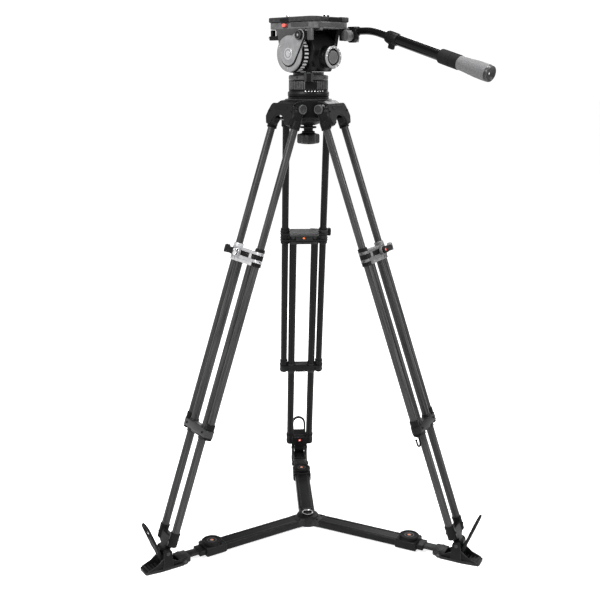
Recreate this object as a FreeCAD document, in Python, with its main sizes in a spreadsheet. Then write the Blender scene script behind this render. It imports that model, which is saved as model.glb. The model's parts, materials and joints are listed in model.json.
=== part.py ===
"""Two-stage carbon video tripod with ground spreader, fluid head and pan bar, in millimetres.

World frame: +Z up, floor at z = 0, origin under the centre of the ground spreader's hub.
Leg frame: origin at the leg's shoulder hinge, x lateral, y outward, z up along the leg.
Foot frame: origin of the world, x lateral, y outward along the spreader arm, z up.
Head frame: x towards the operator, y to the operator's right, z up from the floor.
"""

import FreeCAD, Part
import math
import os

import Sketcher

Vector = FreeCAD.Vector
AXIS_X = Vector(1, 0, 0)
AXIS_Y = Vector(0, 1, 0)
AXIS_Z = Vector(0, 0, 1)

DIMENSIONS = {
    "shoulder_reach": 58.0,     # hub axis to shoulder hinge
    "shoulder_height": 1108.0,
    "foot_reach": 425.0,
    "foot_height": 45.0,
    "outer_radius": 9.1,        # the upper, fixed tubes
    "inner_radius": 10.0,       # the lower, sliding tubes
    "tube_wall": 1.5,
    "running_fit": 0.08,
    "outer_spacing": 103.0,
    "inner_spacing": 58.6,
    "outer_length": 810.0,
    "inner_length": 738.0,
    "clamp_drop": 366.0,        # shoulder hinge to clamp, along the leg
    "bracket_drop": 804.0,
    "sleeve_radius": 12.0,
    "socket_radius": 11.2,
    "inner_socket_radius": 11.8,
    "casting_depth": 24.0,
    "eye_end": 62.6,            # half the width across a yoke's eyes
    "hinge_bolt_radius": 4.0,
    "hinge_cap_radius": 11.0,
    "foot_pin_radius": 5.0,
    "foot_width": 48.0,
    "arm_width": 42.5,
    "arm_depth": 18.0,
    "arm_wall": 2.0,
    "arm_gap": 0.2,
    "hub_radius": 30.0,
    "knob_radius": 26.5,
    "knob_reach": 293.0,
    "loop_width": 43.0,
    "loop_thickness": 6.0,
    "ball_radius": 50.0,
    "ball_height": 1131.0,
    "bowl_gap": 0.3,
    "bowl_wall": 7.7,
    "bowl_outer": 59.0,
    "rim_height": 1129.5,
    "stem_radius": 11.5,
    "dish_radius": 38.0,
    "flange_radius": 50.5,
    "ring_radius": 48.0,
    "tilt_height": 1236.0,
    "drum_radius": 40.0,
    "drag_ring_radius": 44.0,
    "disc_radius": 42.5,
    "axle_radius": 12.0,
    "dial_radius": 27.0,
    "platform_length": 158.0,
    "platform_width": 130.0,
    "platform_top": 1320.0,
    "plate_length": 132.0,
    "bar_radius": 8.5,
    "bar_outer_radius": 10.5,
    "bar_slope": 16.0,
    "grip_radius": 18.5,
}

LEGS = {"rear": 90.0, "left": 210.0, "right": 330.0}
LEVER_SIDE = {"rear": 1, "left": 1, "right": -1}
HEAD_TURN = -50.0

doc = FreeCAD.newDocument("VideoTripod")
sheet = doc.addObject("Spreadsheet::Sheet", "Dims")
for row, (alias, number) in enumerate(DIMENSIONS.items(), start=1):
    sheet.set(f"A{row}", alias)
    sheet.set(f"B{row}", str(number))
    sheet.setAlias(f"B{row}", alias)
doc.recompute()


class Size:
    """A length from the sheet: its number places things, its formula is bound to properties."""

    def __init__(self, number, formula):
        self.number = float(number)
        self.formula = formula

    def __float__(self):
        return self.number

    def __add__(self, other):
        return Size(self.number + float(other), f"({self.formula} + {text(other)})")

    __radd__ = __add__

    def __sub__(self, other):
        return Size(self.number - float(other), f"({self.formula} - {text(other)})")

    def __rsub__(self, other):
        return Size(float(other) - self.number, f"({text(other)} - {self.formula})")

    def __mul__(self, other):
        return Size(self.number * float(other), f"({self.formula} * {text(other)})")

    __rmul__ = __mul__

    def __truediv__(self, other):
        return Size(self.number / float(other), f"({self.formula} / {text(other)})")

    def __neg__(self):
        return Size(-self.number, f"(0 - {self.formula})")


def text(value):
    return value.formula if isinstance(value, Size) else repr(float(value))


class Cells:
    """The sheet's cells by alias, each as a Size."""

    def __getattr__(self, alias):
        return Size(sheet.get(alias), f"Dims.{alias}")


dim = Cells()
nodes = []


def bind(obj, **sizes):
    for prop, size in sizes.items():
        setattr(obj, prop, float(size))
        if isinstance(size, Size):
            obj.setExpression(prop, size.formula)
    return obj


def along(base, axis=AXIS_Z):
    """A placement with its z axis turned to the given direction."""
    return FreeCAD.Placement(Vector(*[float(c) for c in base]), FreeCAD.Rotation(AXIS_Z, Vector(axis)))


def cylinder(radius, height, base=(0, 0, 0), axis=AXIS_Z):
    made = doc.addObject("Part::Cylinder", "Cylinder")
    bind(made, Radius=radius, Height=height)
    made.Placement = along(base, axis)
    return made


def sphere(radius, centre):
    made = bind(doc.addObject("Part::Sphere", "Sphere"), Radius=radius)
    made.Placement.Base = Vector(*[float(c) for c in centre])
    return made


def box(length, width, height, middle):
    """A box centred on x and y, standing on the z of its middle point."""
    made = bind(doc.addObject("Part::Box", "Box"), Length=length, Width=width, Height=height)
    corner = (float(middle[0]) - float(length) / 2, float(middle[1]) - float(width) / 2, middle[2])
    made.Placement.Base = Vector(*[float(c) for c in corner])
    return made


def fuse(*shapes):
    made = doc.addObject("Part::MultiFuse", "Fusion")
    made.Shapes = list(shapes)
    return made


def cut(base, *tools):
    made = doc.addObject("Part::Cut", "Cut")
    made.Base = base
    made.Tool = tools[0] if len(tools) == 1 else fuse(*tools)
    return made


def common(base, tool):
    made = doc.addObject("Part::Common", "Common")
    made.Base = base
    made.Tool = tool
    return made


def group(*shapes):
    made = doc.addObject("Part::Compound", "Group")
    made.Links = list(shapes)
    return made


def origin_feature(body, role):
    return next(f for f in body.Origin.OriginFeatures if f.Role == role)


def outline(body, plane, points):
    """A closed polygon sketch whose corners are dimensioned from the origin."""
    sketch = body.newObject("Sketcher::SketchObject", "Outline")
    sketch.AttachmentSupport = [(origin_feature(body, plane), "")]
    sketch.MapMode = "FlatFace"
    corners = [Vector(float(x), float(y), 0) for x, y in points]
    count = len(corners)
    for i, corner in enumerate(corners):
        sketch.addGeometry(Part.LineSegment(corner, corners[(i + 1) % count]), False)
    for i in range(count):
        sketch.addConstraint(Sketcher.Constraint("Coincident", i, 2, (i + 1) % count, 1))
    for i, point in enumerate(points):
        for kind, size in zip(("DistanceX", "DistanceY"), point):
            index = sketch.addConstraint(Sketcher.Constraint(kind, -1, 1, i, 1, float(size)))
            if isinstance(size, Size):
                sketch.setExpression(f"Constraints[{index}]", size.formula)
    return sketch


def lathe(points):
    """A solid turned about z from an outline of (radius, height) corners."""
    body = doc.addObject("PartDesign::Body", "Turned")
    sketch = outline(body, "XZ_Plane", points)
    turned = body.newObject("PartDesign::Revolution", "Revolution")
    turned.Profile = sketch
    turned.ReferenceAxis = (sketch, ["V_Axis"])
    turned.Angle = 360.0
    return body


def prism(plane, points, thickness, both_ways=True):
    """A plate with the given outline, as thick as asked, centred on the plane or on one side."""
    body = doc.addObject("PartDesign::Body", "Plate")
    pad = body.newObject("PartDesign::Pad", "Pad")
    pad.Profile = outline(body, plane, points)
    pad.Midplane = both_ways
    bind(pad, Length=thickness)
    return body


def turned_about(shape, placement):
    shape.Placement = placement
    return shape


def node(label, shape, placement=None):
    """Names a finished piece; its label becomes its file's name."""
    shape.Label = label
    if placement is not None:
        shape.Placement = placement.multiply(shape.Placement)
    nodes.append(shape)
    return shape


def direction(angle):
    return Vector(math.cos(math.radians(angle)), math.sin(math.radians(angle)), 0)


def leg_length():
    drop = dim.shoulder_height - dim.foot_height
    spread = dim.foot_reach - dim.shoulder_reach
    return math.hypot(float(drop), float(spread))


def foot_frame(azimuth):
    return FreeCAD.Placement(Vector(0, 0, 0), FreeCAD.Rotation(AXIS_Z, azimuth - 90))


def leg_frame(azimuth):
    shoulder = Vector(0, float(dim.shoulder_reach), float(dim.shoulder_height))
    tilt = math.degrees(math.asin(float(dim.foot_reach - dim.shoulder_reach) / leg_length()))
    return foot_frame(azimuth).multiply(FreeCAD.Placement(shoulder, FreeCAD.Rotation(AXIS_X, tilt)))


def head_frame():
    return FreeCAD.Placement(Vector(0, 0, 0), FreeCAD.Rotation(AXIS_Z, HEAD_TURN))


def pair(make, spacing):
    """Two of a thing, at plus and minus half the spacing along x."""
    return [make(float(spacing) / 2), make(-float(spacing) / 2)]


# ---------------------------------------------------------------- legs

def make_yoke(name, azimuth):
    """The fork at a leg's top: two hinge eyes, two tube sockets, a bridge and an arched shield in front."""
    eye_start = 39.5
    eye_length = dim.eye_end - eye_start
    eyes = [
        cylinder(dim.sleeve_radius, eye_length, (eye_start, 0, 0), AXIS_X),
        cylinder(dim.sleeve_radius, eye_length, (-eye_start, 0, 0), -AXIS_X),
    ]
    sockets = pair(lambda x: cylinder(dim.socket_radius, 46, (x, 0, -48)), dim.outer_spacing)
    rings = pair(lambda x: cylinder(dim.sleeve_radius, 8, (x, 0, -48)), dim.outer_spacing)
    bridge = prism("XZ_Plane", [
        (-44, -20), (-34, -23), (34, -23), (44, -20), (44, -50), (30, -37), (-30, -37), (-44, -50),
    ], 10)
    rib = box(70, 16, 5, (0, 0, -30))
    shield = prism("XZ_Plane", [
        (-57, 8), (57, 8), (61, 0), (61, -24), (48, -42), (40, -33), (22, -24),
        (-22, -24), (-40, -33), (-48, -42), (-61, -24), (-61, 0),
    ], 4)
    shield.Placement.Base = Vector(0, 18.8, 0)
    shoulders = [box(18, 19, 20, (x, 9.5, -12)) for x in (-50.5, 50.5)]
    bores = pair(lambda x: cylinder(dim.outer_radius, 41, (x, 0, -50)), dim.outer_spacing)
    bolt_bore = cylinder(dim.hinge_bolt_radius + dim.running_fit, 140, (-70, 0, 0), AXIS_X)
    body = fuse(*eyes, *sockets, *rings, bridge, rib, shield, *shoulders)
    return node(f"{name}_leg_yoke", cut(body, *bores, bolt_bore), leg_frame(azimuth))


def tubes(radius, spacing, length, top):
    def tube(x):
        outside = cylinder(radius, length, (x, 0, top - float(length)))
        inside = cylinder(radius - dim.tube_wall, length + 2, (x, 0, top - 1 - float(length)))
        return cut(outside, inside)
    return group(*pair(tube, spacing))


def bag_hook(x, top):
    """A bent-wire hook that hangs below a bracket and opens upward."""
    wire = 2.4
    bend = 9.5
    drop = 14.0
    stem = cylinder(wire, drop + 4, (x, 0, top - drop))
    curl = doc.addObject("Part::Torus", "Torus")
    bind(curl, Radius1=bend, Radius2=wire, Angle3=180)
    curl.Placement = FreeCAD.Placement(
        Vector(x + bend, 0, top - drop), FreeCAD.Rotation(AXIS_X, -90))
    tip = cylinder(wire, 9, (x + 2 * bend, 0, top - drop))
    return [stem, curl, tip]


def make_lower_bracket(name, azimuth):
    """The bridge at the outer tubes' ends, which the inner tubes slide through."""
    low = -float(dim.bracket_drop) - 16
    sockets = pair(lambda x: cylinder(dim.socket_radius, 40, (x, 0, low - 2)), dim.outer_spacing)
    guides = pair(lambda x: cylinder(dim.inner_socket_radius, 34, (x, 0, low - 6)), dim.inner_spacing)
    bridge = box(dim.outer_spacing, 18, 26, (0, 0, low))
    lips = box(dim.outer_spacing + 4, dim.casting_depth, 6, (0, 0, low + 10))
    parts = [*sockets, *guides, bridge, lips]
    if name == "right":
        parts += bag_hook(50.0, low - 2)
    if name == "rear":
        parts += [cylinder(2.2, 14, (x, -10, low - 12)) for x in (-12, 12)]
        parts += [box(6, 10, 3, (x, -12, low - 14)) for x in (-12, 12)]
    bores = pair(lambda x: cylinder(dim.outer_radius, 60, (x, 0, low + 1)), dim.outer_spacing)
    slides = pair(lambda x: cylinder(dim.inner_radius + dim.running_fit, 60, (x, 0, low - 20)),
                  dim.inner_spacing)
    return node(f"{name}_lower_bracket", cut(fuse(*parts), *bores, *slides), leg_frame(azimuth))


def make_clamp_body(name, azimuth):
    """The locking carriage on the inner tubes' tops, which slides on the outer tubes."""
    middle = -float(dim.clamp_drop)
    sleeves = pair(lambda x: cylinder(dim.sleeve_radius, 44, (x, 0, middle - 22)), dim.outer_spacing)
    sockets = pair(lambda x: cylinder(dim.inner_socket_radius, 36, (x, 0, middle - 22)), dim.inner_spacing)
    bridge = box(dim.outer_spacing, dim.casting_depth, 26, (0, 0, middle - 13))
    ledge = box(dim.outer_spacing - 26, 34, 6, (0, -3, middle + 8))
    side = LEVER_SIDE[name]
    boss = cylinder(10, 20, (22 * side, 0, middle), AXIS_Y)
    slides = pair(lambda x: cylinder(dim.outer_radius + dim.running_fit, 60, (x, 0, middle - 30)),
                  dim.outer_spacing)
    bores = pair(lambda x: cylinder(dim.inner_radius, 40, (x, 0, middle - 28)), dim.inner_spacing)
    pivot = cylinder(dim.hinge_bolt_radius + dim.running_fit, 16, (22 * side, 5, middle), AXIS_Y)
    body = cut(fuse(*sleeves, *sockets, bridge, ledge, boss), *slides, *bores, pivot)
    return node(f"{name}_clamp_body", body, leg_frame(azimuth))


def make_lock_lever(name, azimuth):
    """The cam lever on the clamp: a round cap over its pin, an arm and a thumb wing."""
    middle = -float(dim.clamp_drop)
    side = LEVER_SIDE[name]
    pin = cylinder(dim.hinge_bolt_radius, 11.2, (22 * side, 9.8, middle), AXIS_Y)
    cap = cylinder(9.5, 5, (22 * side, 20.3, middle), AXIS_Y)
    arm = box(44, 4.5, 10, (44 * side, 22.55, middle - 5))
    wing = box(11, 11.5, 20, (69 * side, 18.8, middle - 8))
    return node(f"{name}_lock_lever", fuse(pin, cap, arm, wing), leg_frame(azimuth))


def make_foot_bracket(name, azimuth):
    """The crosspiece at the inner tubes' ends, with the eye that turns on the foot pin."""
    pivot = -leg_length()
    top = pivot + 54
    sockets = pair(lambda x: cylinder(dim.inner_socket_radius, 34, (x, 0, top - 34)), dim.inner_spacing)
    bridge = prism("XZ_Plane", [
        (-38, pivot + 42), (38, pivot + 42), (38, pivot + 26), (15.5, pivot + 16), (15.5, pivot),
        (-15.5, pivot), (-15.5, pivot + 16), (-38, pivot + 26),
    ], 18)
    eye = cylinder(11, 31, (-15.5, 0, pivot), AXIS_X)
    bores = pair(lambda x: cylinder(dim.inner_radius, 40, (x, 0, pivot + 32.6)), dim.inner_spacing)
    pin_bore = cylinder(dim.foot_pin_radius + dim.running_fit, 60, (-30, 0, pivot), AXIS_X)
    body = cut(fuse(*sockets, bridge, eye), *bores, pin_bore)
    return node(f"{name}_foot_bracket", body, leg_frame(azimuth))


def make_shoe(name, azimuth):
    """The spreader's end fitting: sliding tongue, hinge block, ribbed foot plate, ears and pin."""
    reach = float(dim.foot_reach)
    pin_height = float(dim.foot_height)
    half = float(dim.foot_width) / 2
    sole = prism("XY_Plane", [
        (-half, reach - 40), (half, reach - 40), (half, reach + 20), (half - 5, reach + 59),
        (5 - half, reach + 59), (-half, reach + 20),
    ], 8, False)
    block = box(40, 34, 17, (0, reach - 46, 3))
    slider = box(24, 166, 8, (0, reach - 143, 11))
    hinge_pin = cylinder(4, 52, (-26, reach - 46, 10), AXIS_X)
    ears = [box(8, 22, pin_height - 4, (x, reach, 4)) for x in (-20, 20)]
    eyes = [cylinder(11, 8, (x - 4, reach, pin_height), AXIS_X) for x in (-20, 20)]
    pin = cylinder(dim.foot_pin_radius, 48, (-24, reach, pin_height), AXIS_X)
    ribs = []
    for x in (-19, 19):
        rib = prism("YZ_Plane", [
            (reach + 8, 6), (reach + 52, 6), (reach + 52, 10), (reach + 8, 34),
        ], 4)
        rib.Placement.Base = Vector(x, 0, 0)
        ribs.append(rib)
    body = fuse(sole, block, slider, hinge_pin, *ears, *eyes, pin, *ribs)
    return node(f"{name}_foot_shoe", body, foot_frame(azimuth))


def make_loop(name, azimuth):
    """The rubber pull loop that stands on the shoe and leans outward."""
    half = dim.loop_width / 2
    lean = 21.3
    strap = prism("XZ_Plane", [
        (-15, 0.2), (15, 0.2), (15, 38), (half, 52), (half, 112), (half - 10, 130), (10 - half, 130),
        (-half, 112), (-half, 52), (-15, 38),
    ], dim.loop_thickness)
    window = box(33, 20, 18, (0, 0, 88))
    arch = cylinder(16.5, 20, (0, -10, 106), AXIS_Y)
    body = cut(strap, window, arch)
    base = Vector(0, float(dim.foot_reach) + 4.5, 9.2)
    tilt = FreeCAD.Placement(base, FreeCAD.Rotation(AXIS_X, -lean))
    return node(f"{name}_pull_loop", body, foot_frame(azimuth).multiply(tilt))


# ---------------------------------------------------------------- ground spreader

ARM_BOTTOM = 6.0
ARM_START = 44.0
CLAMP_START = 264.0
CLAMP_END = 320.0


def make_hub():
    """The hub casting with a floor pad, three stub arms and a raised centre ring."""
    hub = lathe([
        (0, 0), (dim.hub_radius - 5, 0), (dim.hub_radius, 4), (dim.hub_radius, 25), (dim.hub_radius - 4, 28),
        (dim.hub_radius - 14.5, 28), (dim.hub_radius - 14.5, 33), (dim.hub_radius - 18, 33),
        (dim.hub_radius - 18, 30), (0, 30),
    ])
    stubs = []
    for azimuth in LEGS.values():
        stub = box(dim.arm_width, ARM_START, dim.arm_depth + 1, (0, ARM_START / 2, ARM_BOTTOM - 0.5))
        stub.Placement = foot_frame(azimuth).multiply(stub.Placement)
        stubs.append(stub)
    return node("spreader_hub", fuse(hub, *stubs))


def make_outer_arms():
    """Three channel arms, each ending in a clamp block for the sliding arm."""
    arms = []
    for azimuth in LEGS.values():
        channel = box(dim.arm_width, CLAMP_START - ARM_START, dim.arm_depth,
                      (0, (ARM_START + CLAMP_START) / 2, ARM_BOTTOM))
        block = prism("XY_Plane", [
            (-21.25, CLAMP_START), (-26, CLAMP_START + 8), (-26, CLAMP_END - 6), (-22, CLAMP_END),
            (22, CLAMP_END), (26, CLAMP_END - 6), (26, CLAMP_START + 8), (21.25, CLAMP_START),
        ], 24, False)
        block.Placement.Base = Vector(0, 0, 4)
        inside = box(dim.arm_width - 2 * dim.arm_wall, 300, dim.arm_depth - 2 * dim.arm_wall,
                     (0, ARM_START + 150, ARM_BOTTOM + 2))
        pin_bore = cylinder(dim.hinge_bolt_radius + dim.running_fit, 10, (0, dim.knob_reach, 20))
        arm = cut(fuse(channel, block), inside, pin_bore)
        arms.append(turned_about(arm, foot_frame(azimuth)))
    return node("spreader_outer_arms", group(*arms))


def make_sliding_arm(name, azimuth):
    """The hollow arm that slides in an outer arm and takes the shoe's tongue."""
    width = dim.arm_width - 2 * dim.arm_wall - 2.5 * dim.arm_gap
    depth = dim.arm_depth - 2 * dim.arm_wall - 2 * dim.arm_gap
    bottom = ARM_BOTTOM + 2.2
    start = 130.0
    length = 206.0
    outside = box(width, length, depth, (0, start + length / 2, bottom))
    inside = box(width - 2 * dim.arm_wall, length + 20, depth - 2 * dim.arm_wall,
                 (0, start + length / 2, bottom + 2))
    return node(f"{name}_sliding_arm", cut(outside, inside), foot_frame(azimuth))


def make_arm_knob(name, azimuth):
    """The flat round lock knob on an arm's clamp, dished on top, with its screw."""
    top = 36.0
    reach = float(dim.knob_reach)
    disc = lathe([
        (0, 28.3), (dim.knob_radius - 2, 28.3), (dim.knob_radius, 30), (dim.knob_radius, top - 2),
        (dim.knob_radius - 2, top), (dim.knob_radius - 8, top), (dim.knob_radius - 9, top - 1.5),
        (0, top - 1.5),
    ])
    screw = cylinder(dim.hinge_bolt_radius, 6, (0, 0, 23))
    body = fuse(disc, screw)
    place = foot_frame(azimuth).multiply(FreeCAD.Placement(Vector(0, reach, 0), FreeCAD.Rotation()))
    return node(f"{name}_arm_knob", body, place)


# ---------------------------------------------------------------- apex and bowl

def make_apex():
    """The bowl casting with three hooded hinge lugs."""
    centre = (0, 0, dim.ball_height)
    shell = dim.ball_radius + dim.bowl_gap + dim.bowl_wall
    waist = cylinder(44.5, 80, (0, 0, float(dim.rim_height) - 80))
    bowl = common(sphere(shell, centre), waist)
    ring = lathe([
        (44.0, 1084), (dim.bowl_outer - 3, 1084),
        (dim.bowl_outer, 1088), (dim.bowl_outer, dim.rim_height - 3),
        (dim.bowl_outer - 2, dim.rim_height), (44.0, dim.rim_height),
    ])
    parts = [bowl, ring]
    reach = float(dim.shoulder_reach)
    height = float(dim.shoulder_height)
    for azimuth in LEGS.values():
        lug = cylinder(16, 77, (-38.5, reach, height), AXIS_X)
        web = prism("YZ_Plane", [
            (40, 1096), (reach, 1094), (reach + 15.9, height), (reach + 10, height + 15),
            (reach - 2, height + 19), (40, height + 19),
        ], 77)
        for piece in (lug, web):
            piece.Placement = foot_frame(azimuth).multiply(piece.Placement)
        parts += [lug, web]
    hollow = [
        sphere(dim.ball_radius + dim.bowl_gap, centre),
        cylinder(26, 60, (0, 0, 1060)),
        cylinder(70, 30, (0, 0, dim.rim_height)),
    ]
    for azimuth in LEGS.values():
        bore = cylinder(dim.hinge_bolt_radius, 140, (-70, reach, height), AXIS_X)
        bore.Placement = foot_frame(azimuth).multiply(bore.Placement)
        hollow.append(bore)
    return node("apex_casting", cut(fuse(*parts), *hollow))


def make_hinge_bolts():
    """One shoulder bolt per leg, with a round cap at each end."""
    reach = float(dim.shoulder_reach)
    height = float(dim.shoulder_height)
    half = dim.eye_end + 0.3
    bolts = []
    for azimuth in LEGS.values():
        shank = cylinder(dim.hinge_bolt_radius, half * 2, (-half, reach, height), AXIS_X)
        heads = [cylinder(dim.hinge_cap_radius, 3, (half * s, reach, height), AXIS_X * s) for s in (-1, 1)]
        bolts.append(turned_about(fuse(shank, *heads), foot_frame(azimuth)))
    return node("apex_hinge_bolts", group(*bolts))


def make_clamp_dish():
    """The spherical washer that the tie-down bolt pulls up under the bowl."""
    centre = (0, 0, dim.ball_height)
    inner = dim.ball_radius + dim.bowl_gap * 2 + dim.bowl_wall
    shell = cut(sphere(inner + 7.5, centre), sphere(inner, centre))
    skirt = cylinder(dim.dish_radius, 60, (0, 0, 1060))
    bore = cylinder(dim.stem_radius + 5.5, 60, (0, 0, 1050))
    lower_half = cylinder(80, 80, (0, 0, dim.ball_height))
    return node("bowl_clamp_dish", cut(common(shell, skirt), bore, lower_half))


def make_half_ball():
    """The levelling half ball with its flange, pan spigot and tie-down stem."""
    ball_height = float(dim.ball_height)
    flange_bottom = ball_height + 5
    ball = common(sphere(dim.ball_radius, (0, 0, ball_height)), cylinder(80, 75, (0, 0, flange_bottom - 75)))
    flange = lathe([
        (0, flange_bottom - 1), (dim.flange_radius - 3, flange_bottom - 1),
        (dim.flange_radius - 3, flange_bottom),
        (dim.flange_radius, flange_bottom), (dim.flange_radius, flange_bottom + 10),
        (dim.flange_radius - 1.5, flange_bottom + 11.5), (dim.ring_radius, flange_bottom + 11.5),
        (dim.ring_radius, flange_bottom + 14.7), (32, flange_bottom + 14.7), (32, 1175), (15, 1175),
        (15, 1192), (0, 1192),
    ])
    stem = cylinder(dim.stem_radius, 60, (0, 0, 1037))
    collar = cylinder(dim.stem_radius + 8.5, 4.5, (0, 0, 1060))
    return node("levelling_half_ball", fuse(ball, flange, stem, collar))


def make_tie_down_knob():
    """The lobed knob on the stem under the bowl."""
    core = lathe([
        (0, 1021), (20, 1021), (24, 1024), (24, 1044), (20, 1048), (16, 1048), (16, 1053), (0, 1053),
    ])
    lobes = []
    for i in range(6):
        centre = direction(60 * i) * 21
        lobes.append(cylinder(7, 20, centre + Vector(0, 0, 1024)))
    bore = cylinder(dim.stem_radius + dim.running_fit, 40, (0, 0, 1036.5))
    return node("tie_down_knob", cut(fuse(core, *lobes), bore))


# ---------------------------------------------------------------- fluid head

def make_pan_base():
    """The turning base of the head: a plain ring and a neck on the pan spigot."""
    base = lathe([
        (15 + dim.running_fit, 1175.3), (dim.ring_radius, 1175.3), (dim.ring_radius, 1186),
        (dim.ring_radius - 1, 1187), (37.5, 1187), (37.5, 1194), (15 + dim.running_fit, 1194),
    ])
    bore = cylinder(dim.hinge_bolt_radius + dim.running_fit, 20, direction(317) * 34 + Vector(0, 0, 1181.2),
                    direction(317))
    return node("pan_base", cut(base, bore), head_frame())


def make_pan_drag_ring():
    """The ribbed ring that sets the pan drag."""
    ring = lathe([
        (32.3, 1151.2), (dim.ring_radius - 0.8, 1151.2), (dim.ring_radius, 1152), (dim.ring_radius, 1174),
        (dim.ring_radius - 0.8, 1174.8), (32.3, 1174.8),
    ])
    return node("pan_drag_ring", ring, head_frame())


def make_pan_lock_lever():
    """The upright lever that locks the pan, on a radial pin."""
    face = direction(317)
    pin = cylinder(dim.hinge_bolt_radius, 18, face * 36 + Vector(0, 0, 1181.2), face)
    block = prism("XZ_Plane", [(-11, 1171), (11, 1171), (11, 1188), (7, 1195), (-7, 1195), (-11, 1188)], 8)
    block.Placement = FreeCAD.Placement(face * 56, FreeCAD.Rotation(AXIS_Z, 317 - 270))
    return node("pan_lock_lever", fuse(pin, block), head_frame())


def make_housing():
    """The fluid cartridge housing: a crowned drum across the head on a base block, with a rear boss."""
    tilt = float(dim.tilt_height)
    drum = cylinder(dim.drum_radius, 83, (0, -38, tilt), AXIS_Y)
    base = prism("XZ_Plane", [
        (-40, tilt), (-44, 1206), (-38, 1194.3), (38, 1194.3), (44, 1206), (40, tilt),
    ], 76)
    base.Placement.Base = Vector(0, 4, 0)
    crown = prism("XZ_Plane", [
        (-52, tilt), (-50, tilt + 22), (-36, tilt + 41.5), (-18, tilt + 52), (18, tilt + 52),
        (36, tilt + 41.5), (50, tilt + 22), (52, tilt), (40, tilt - 20), (-40, tilt - 20),
    ], 83)
    crown.Placement.Base = Vector(0, 3.5, 0)
    boss = cylinder(25, 60, (8, 7.5, tilt - 8), AXIS_X)
    spigot = cylinder(30, 20, (0, -56, tilt), AXIS_Y)
    axle_bore = cylinder(dim.axle_radius + dim.running_fit, 130, (0, -65, tilt), AXIS_Y)
    dial_bore = cylinder(dim.hinge_bolt_radius + dim.running_fit, 30, (50, 7.5, tilt - 8), AXIS_X)
    body = cut(fuse(drum, base, crown, boss, spigot), axle_bore, dial_bore)
    return node("head_housing", body, head_frame())


def make_tilt_drag_ring():
    """The ribbed ring on the left of the drum that sets the tilt drag."""
    outside = cylinder(dim.drag_ring_radius, 16.7, (0, -55.3, dim.tilt_height), AXIS_Y)
    inside = cylinder(30.3, 40, (0, -65, dim.tilt_height), AXIS_Y)
    return node("tilt_drag_ring", cut(outside, inside), head_frame())


def make_dial():
    """The counterbalance dial on the housing's rear boss, with a recessed face."""
    height = float(dim.tilt_height) - 8
    rim = cylinder(dim.dial_radius, 11.7, (68.3, 7.5, height), AXIS_X)
    recess = cylinder(dim.dial_radius - 6, 6, (77.5, 7.5, height), AXIS_X)
    pin = cylinder(dim.hinge_bolt_radius, 12, (58, 7.5, height), AXIS_X)
    return node("counterbalance_dial", fuse(cut(rim, recess), pin), head_frame())


def make_tilt_axle():
    """The shaft across the drum that carries the tilting platform's cheeks."""
    shaft = cylinder(dim.axle_radius, 118.6, (0, -60.8, dim.tilt_height), AXIS_Y)
    return node("tilt_axle", shaft, head_frame())


LEVER_POST = (-51.0, -48.0)


def make_platform():
    """The tilting platform: flanged deck with a dovetail channel, two cheeks, knob, lever and bar bosses."""
    top = float(dim.platform_top)
    tilt = float(dim.tilt_height)
    half_x = dim.platform_length / 2
    half_y = dim.platform_width / 2
    deck = prism("YZ_Plane", [
        (-half_y + 4, top - 27), (half_y - 4, top - 27), (half_y - 4, top - 10.5), (half_y, top - 9),
        (half_y, top - 2), (half_y - 2, top), (31, top), (34.5, top - 12), (-34.5, top - 12), (-31, top),
        (2 - half_y, top), (-half_y, top - 2), (-half_y, top - 9), (4 - half_y, top - 10.5),
    ], dim.platform_length)
    parts = [deck]
    for y_start, thickness in ((-61.0, 4.7), (46.0, 12.0)):
        cheek = prism("XZ_Plane", [
            (-36, tilt), (-48, top - 26), (50, top - 26), (36, tilt),
        ], thickness)
        cheek.Placement.Base = Vector(0, y_start + thickness / 2, 0)
        parts += [cheek, cylinder(40, thickness, (0, y_start, tilt), AXIS_Y)]
    parts.append(cylinder(13, 9.5, (41, -66, 1278), AXIS_Y))
    parts.append(cylinder(8, 14, (*LEVER_POST, 1279.3)))
    parts.append(box(15, 9, 28, (64, -55.5, 1266)))
    parts.append(box(24, 16, 28, (72, 50, 1266)))
    parts.append(cylinder(13, 16, (80, 42, 1278), AXIS_Y))
    tools = [
        cylinder(dim.axle_radius, 130, (0, -60.8, tilt), AXIS_Y),
        cylinder(dim.hinge_bolt_radius + dim.running_fit, 14, (41, -70, 1278), AXIS_Y),
        cylinder(dim.hinge_bolt_radius + dim.running_fit, 30, (80, 36, 1278), AXIS_Y),
        cylinder(5 + dim.running_fit, 20, (-15, -70, top - 19), AXIS_Y),
        cylinder(dim.hinge_bolt_radius + dim.running_fit, 12, (*LEVER_POST, 1279)),
    ]
    corner_cuts = []
    for sx in (-1, 1):
        for sy in (-1, 1):
            wedge = box(14, 14, 60, (0, 0, top - 40))
            spot = Vector(sx * (float(half_x) + 3), sy * (float(half_y) + 3), 0)
            wedge.Placement = FreeCAD.Placement(spot, FreeCAD.Rotation(AXIS_Z, 45)).multiply(wedge.Placement)
            corner_cuts.append(wedge)
    return node("tilt_platform", cut(fuse(*parts), *tools, *corner_cuts), head_frame())


def make_side_disc():
    """The grey cover disc over the left end of the tilt axis, with a raised badge boss."""
    disc = cylinder(dim.disc_radius, 4.9, (0, -65.9, dim.tilt_height), AXIS_Y)
    badge = cylinder(14, 1.5, (0, -67.4, dim.tilt_height), AXIS_Y)
    return node("side_disc_cover", fuse(disc, badge), head_frame())


def make_tilt_lock_knob():
    """The round knob on the left cheek's upper boss."""
    cap = cylinder(11, 9, (41, -75.3, 1278), AXIS_Y)
    pin = cylinder(dim.hinge_bolt_radius, 10, (41, -67, 1278), AXIS_Y)
    return node("tilt_lock_knob", fuse(cap, pin), head_frame())


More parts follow.
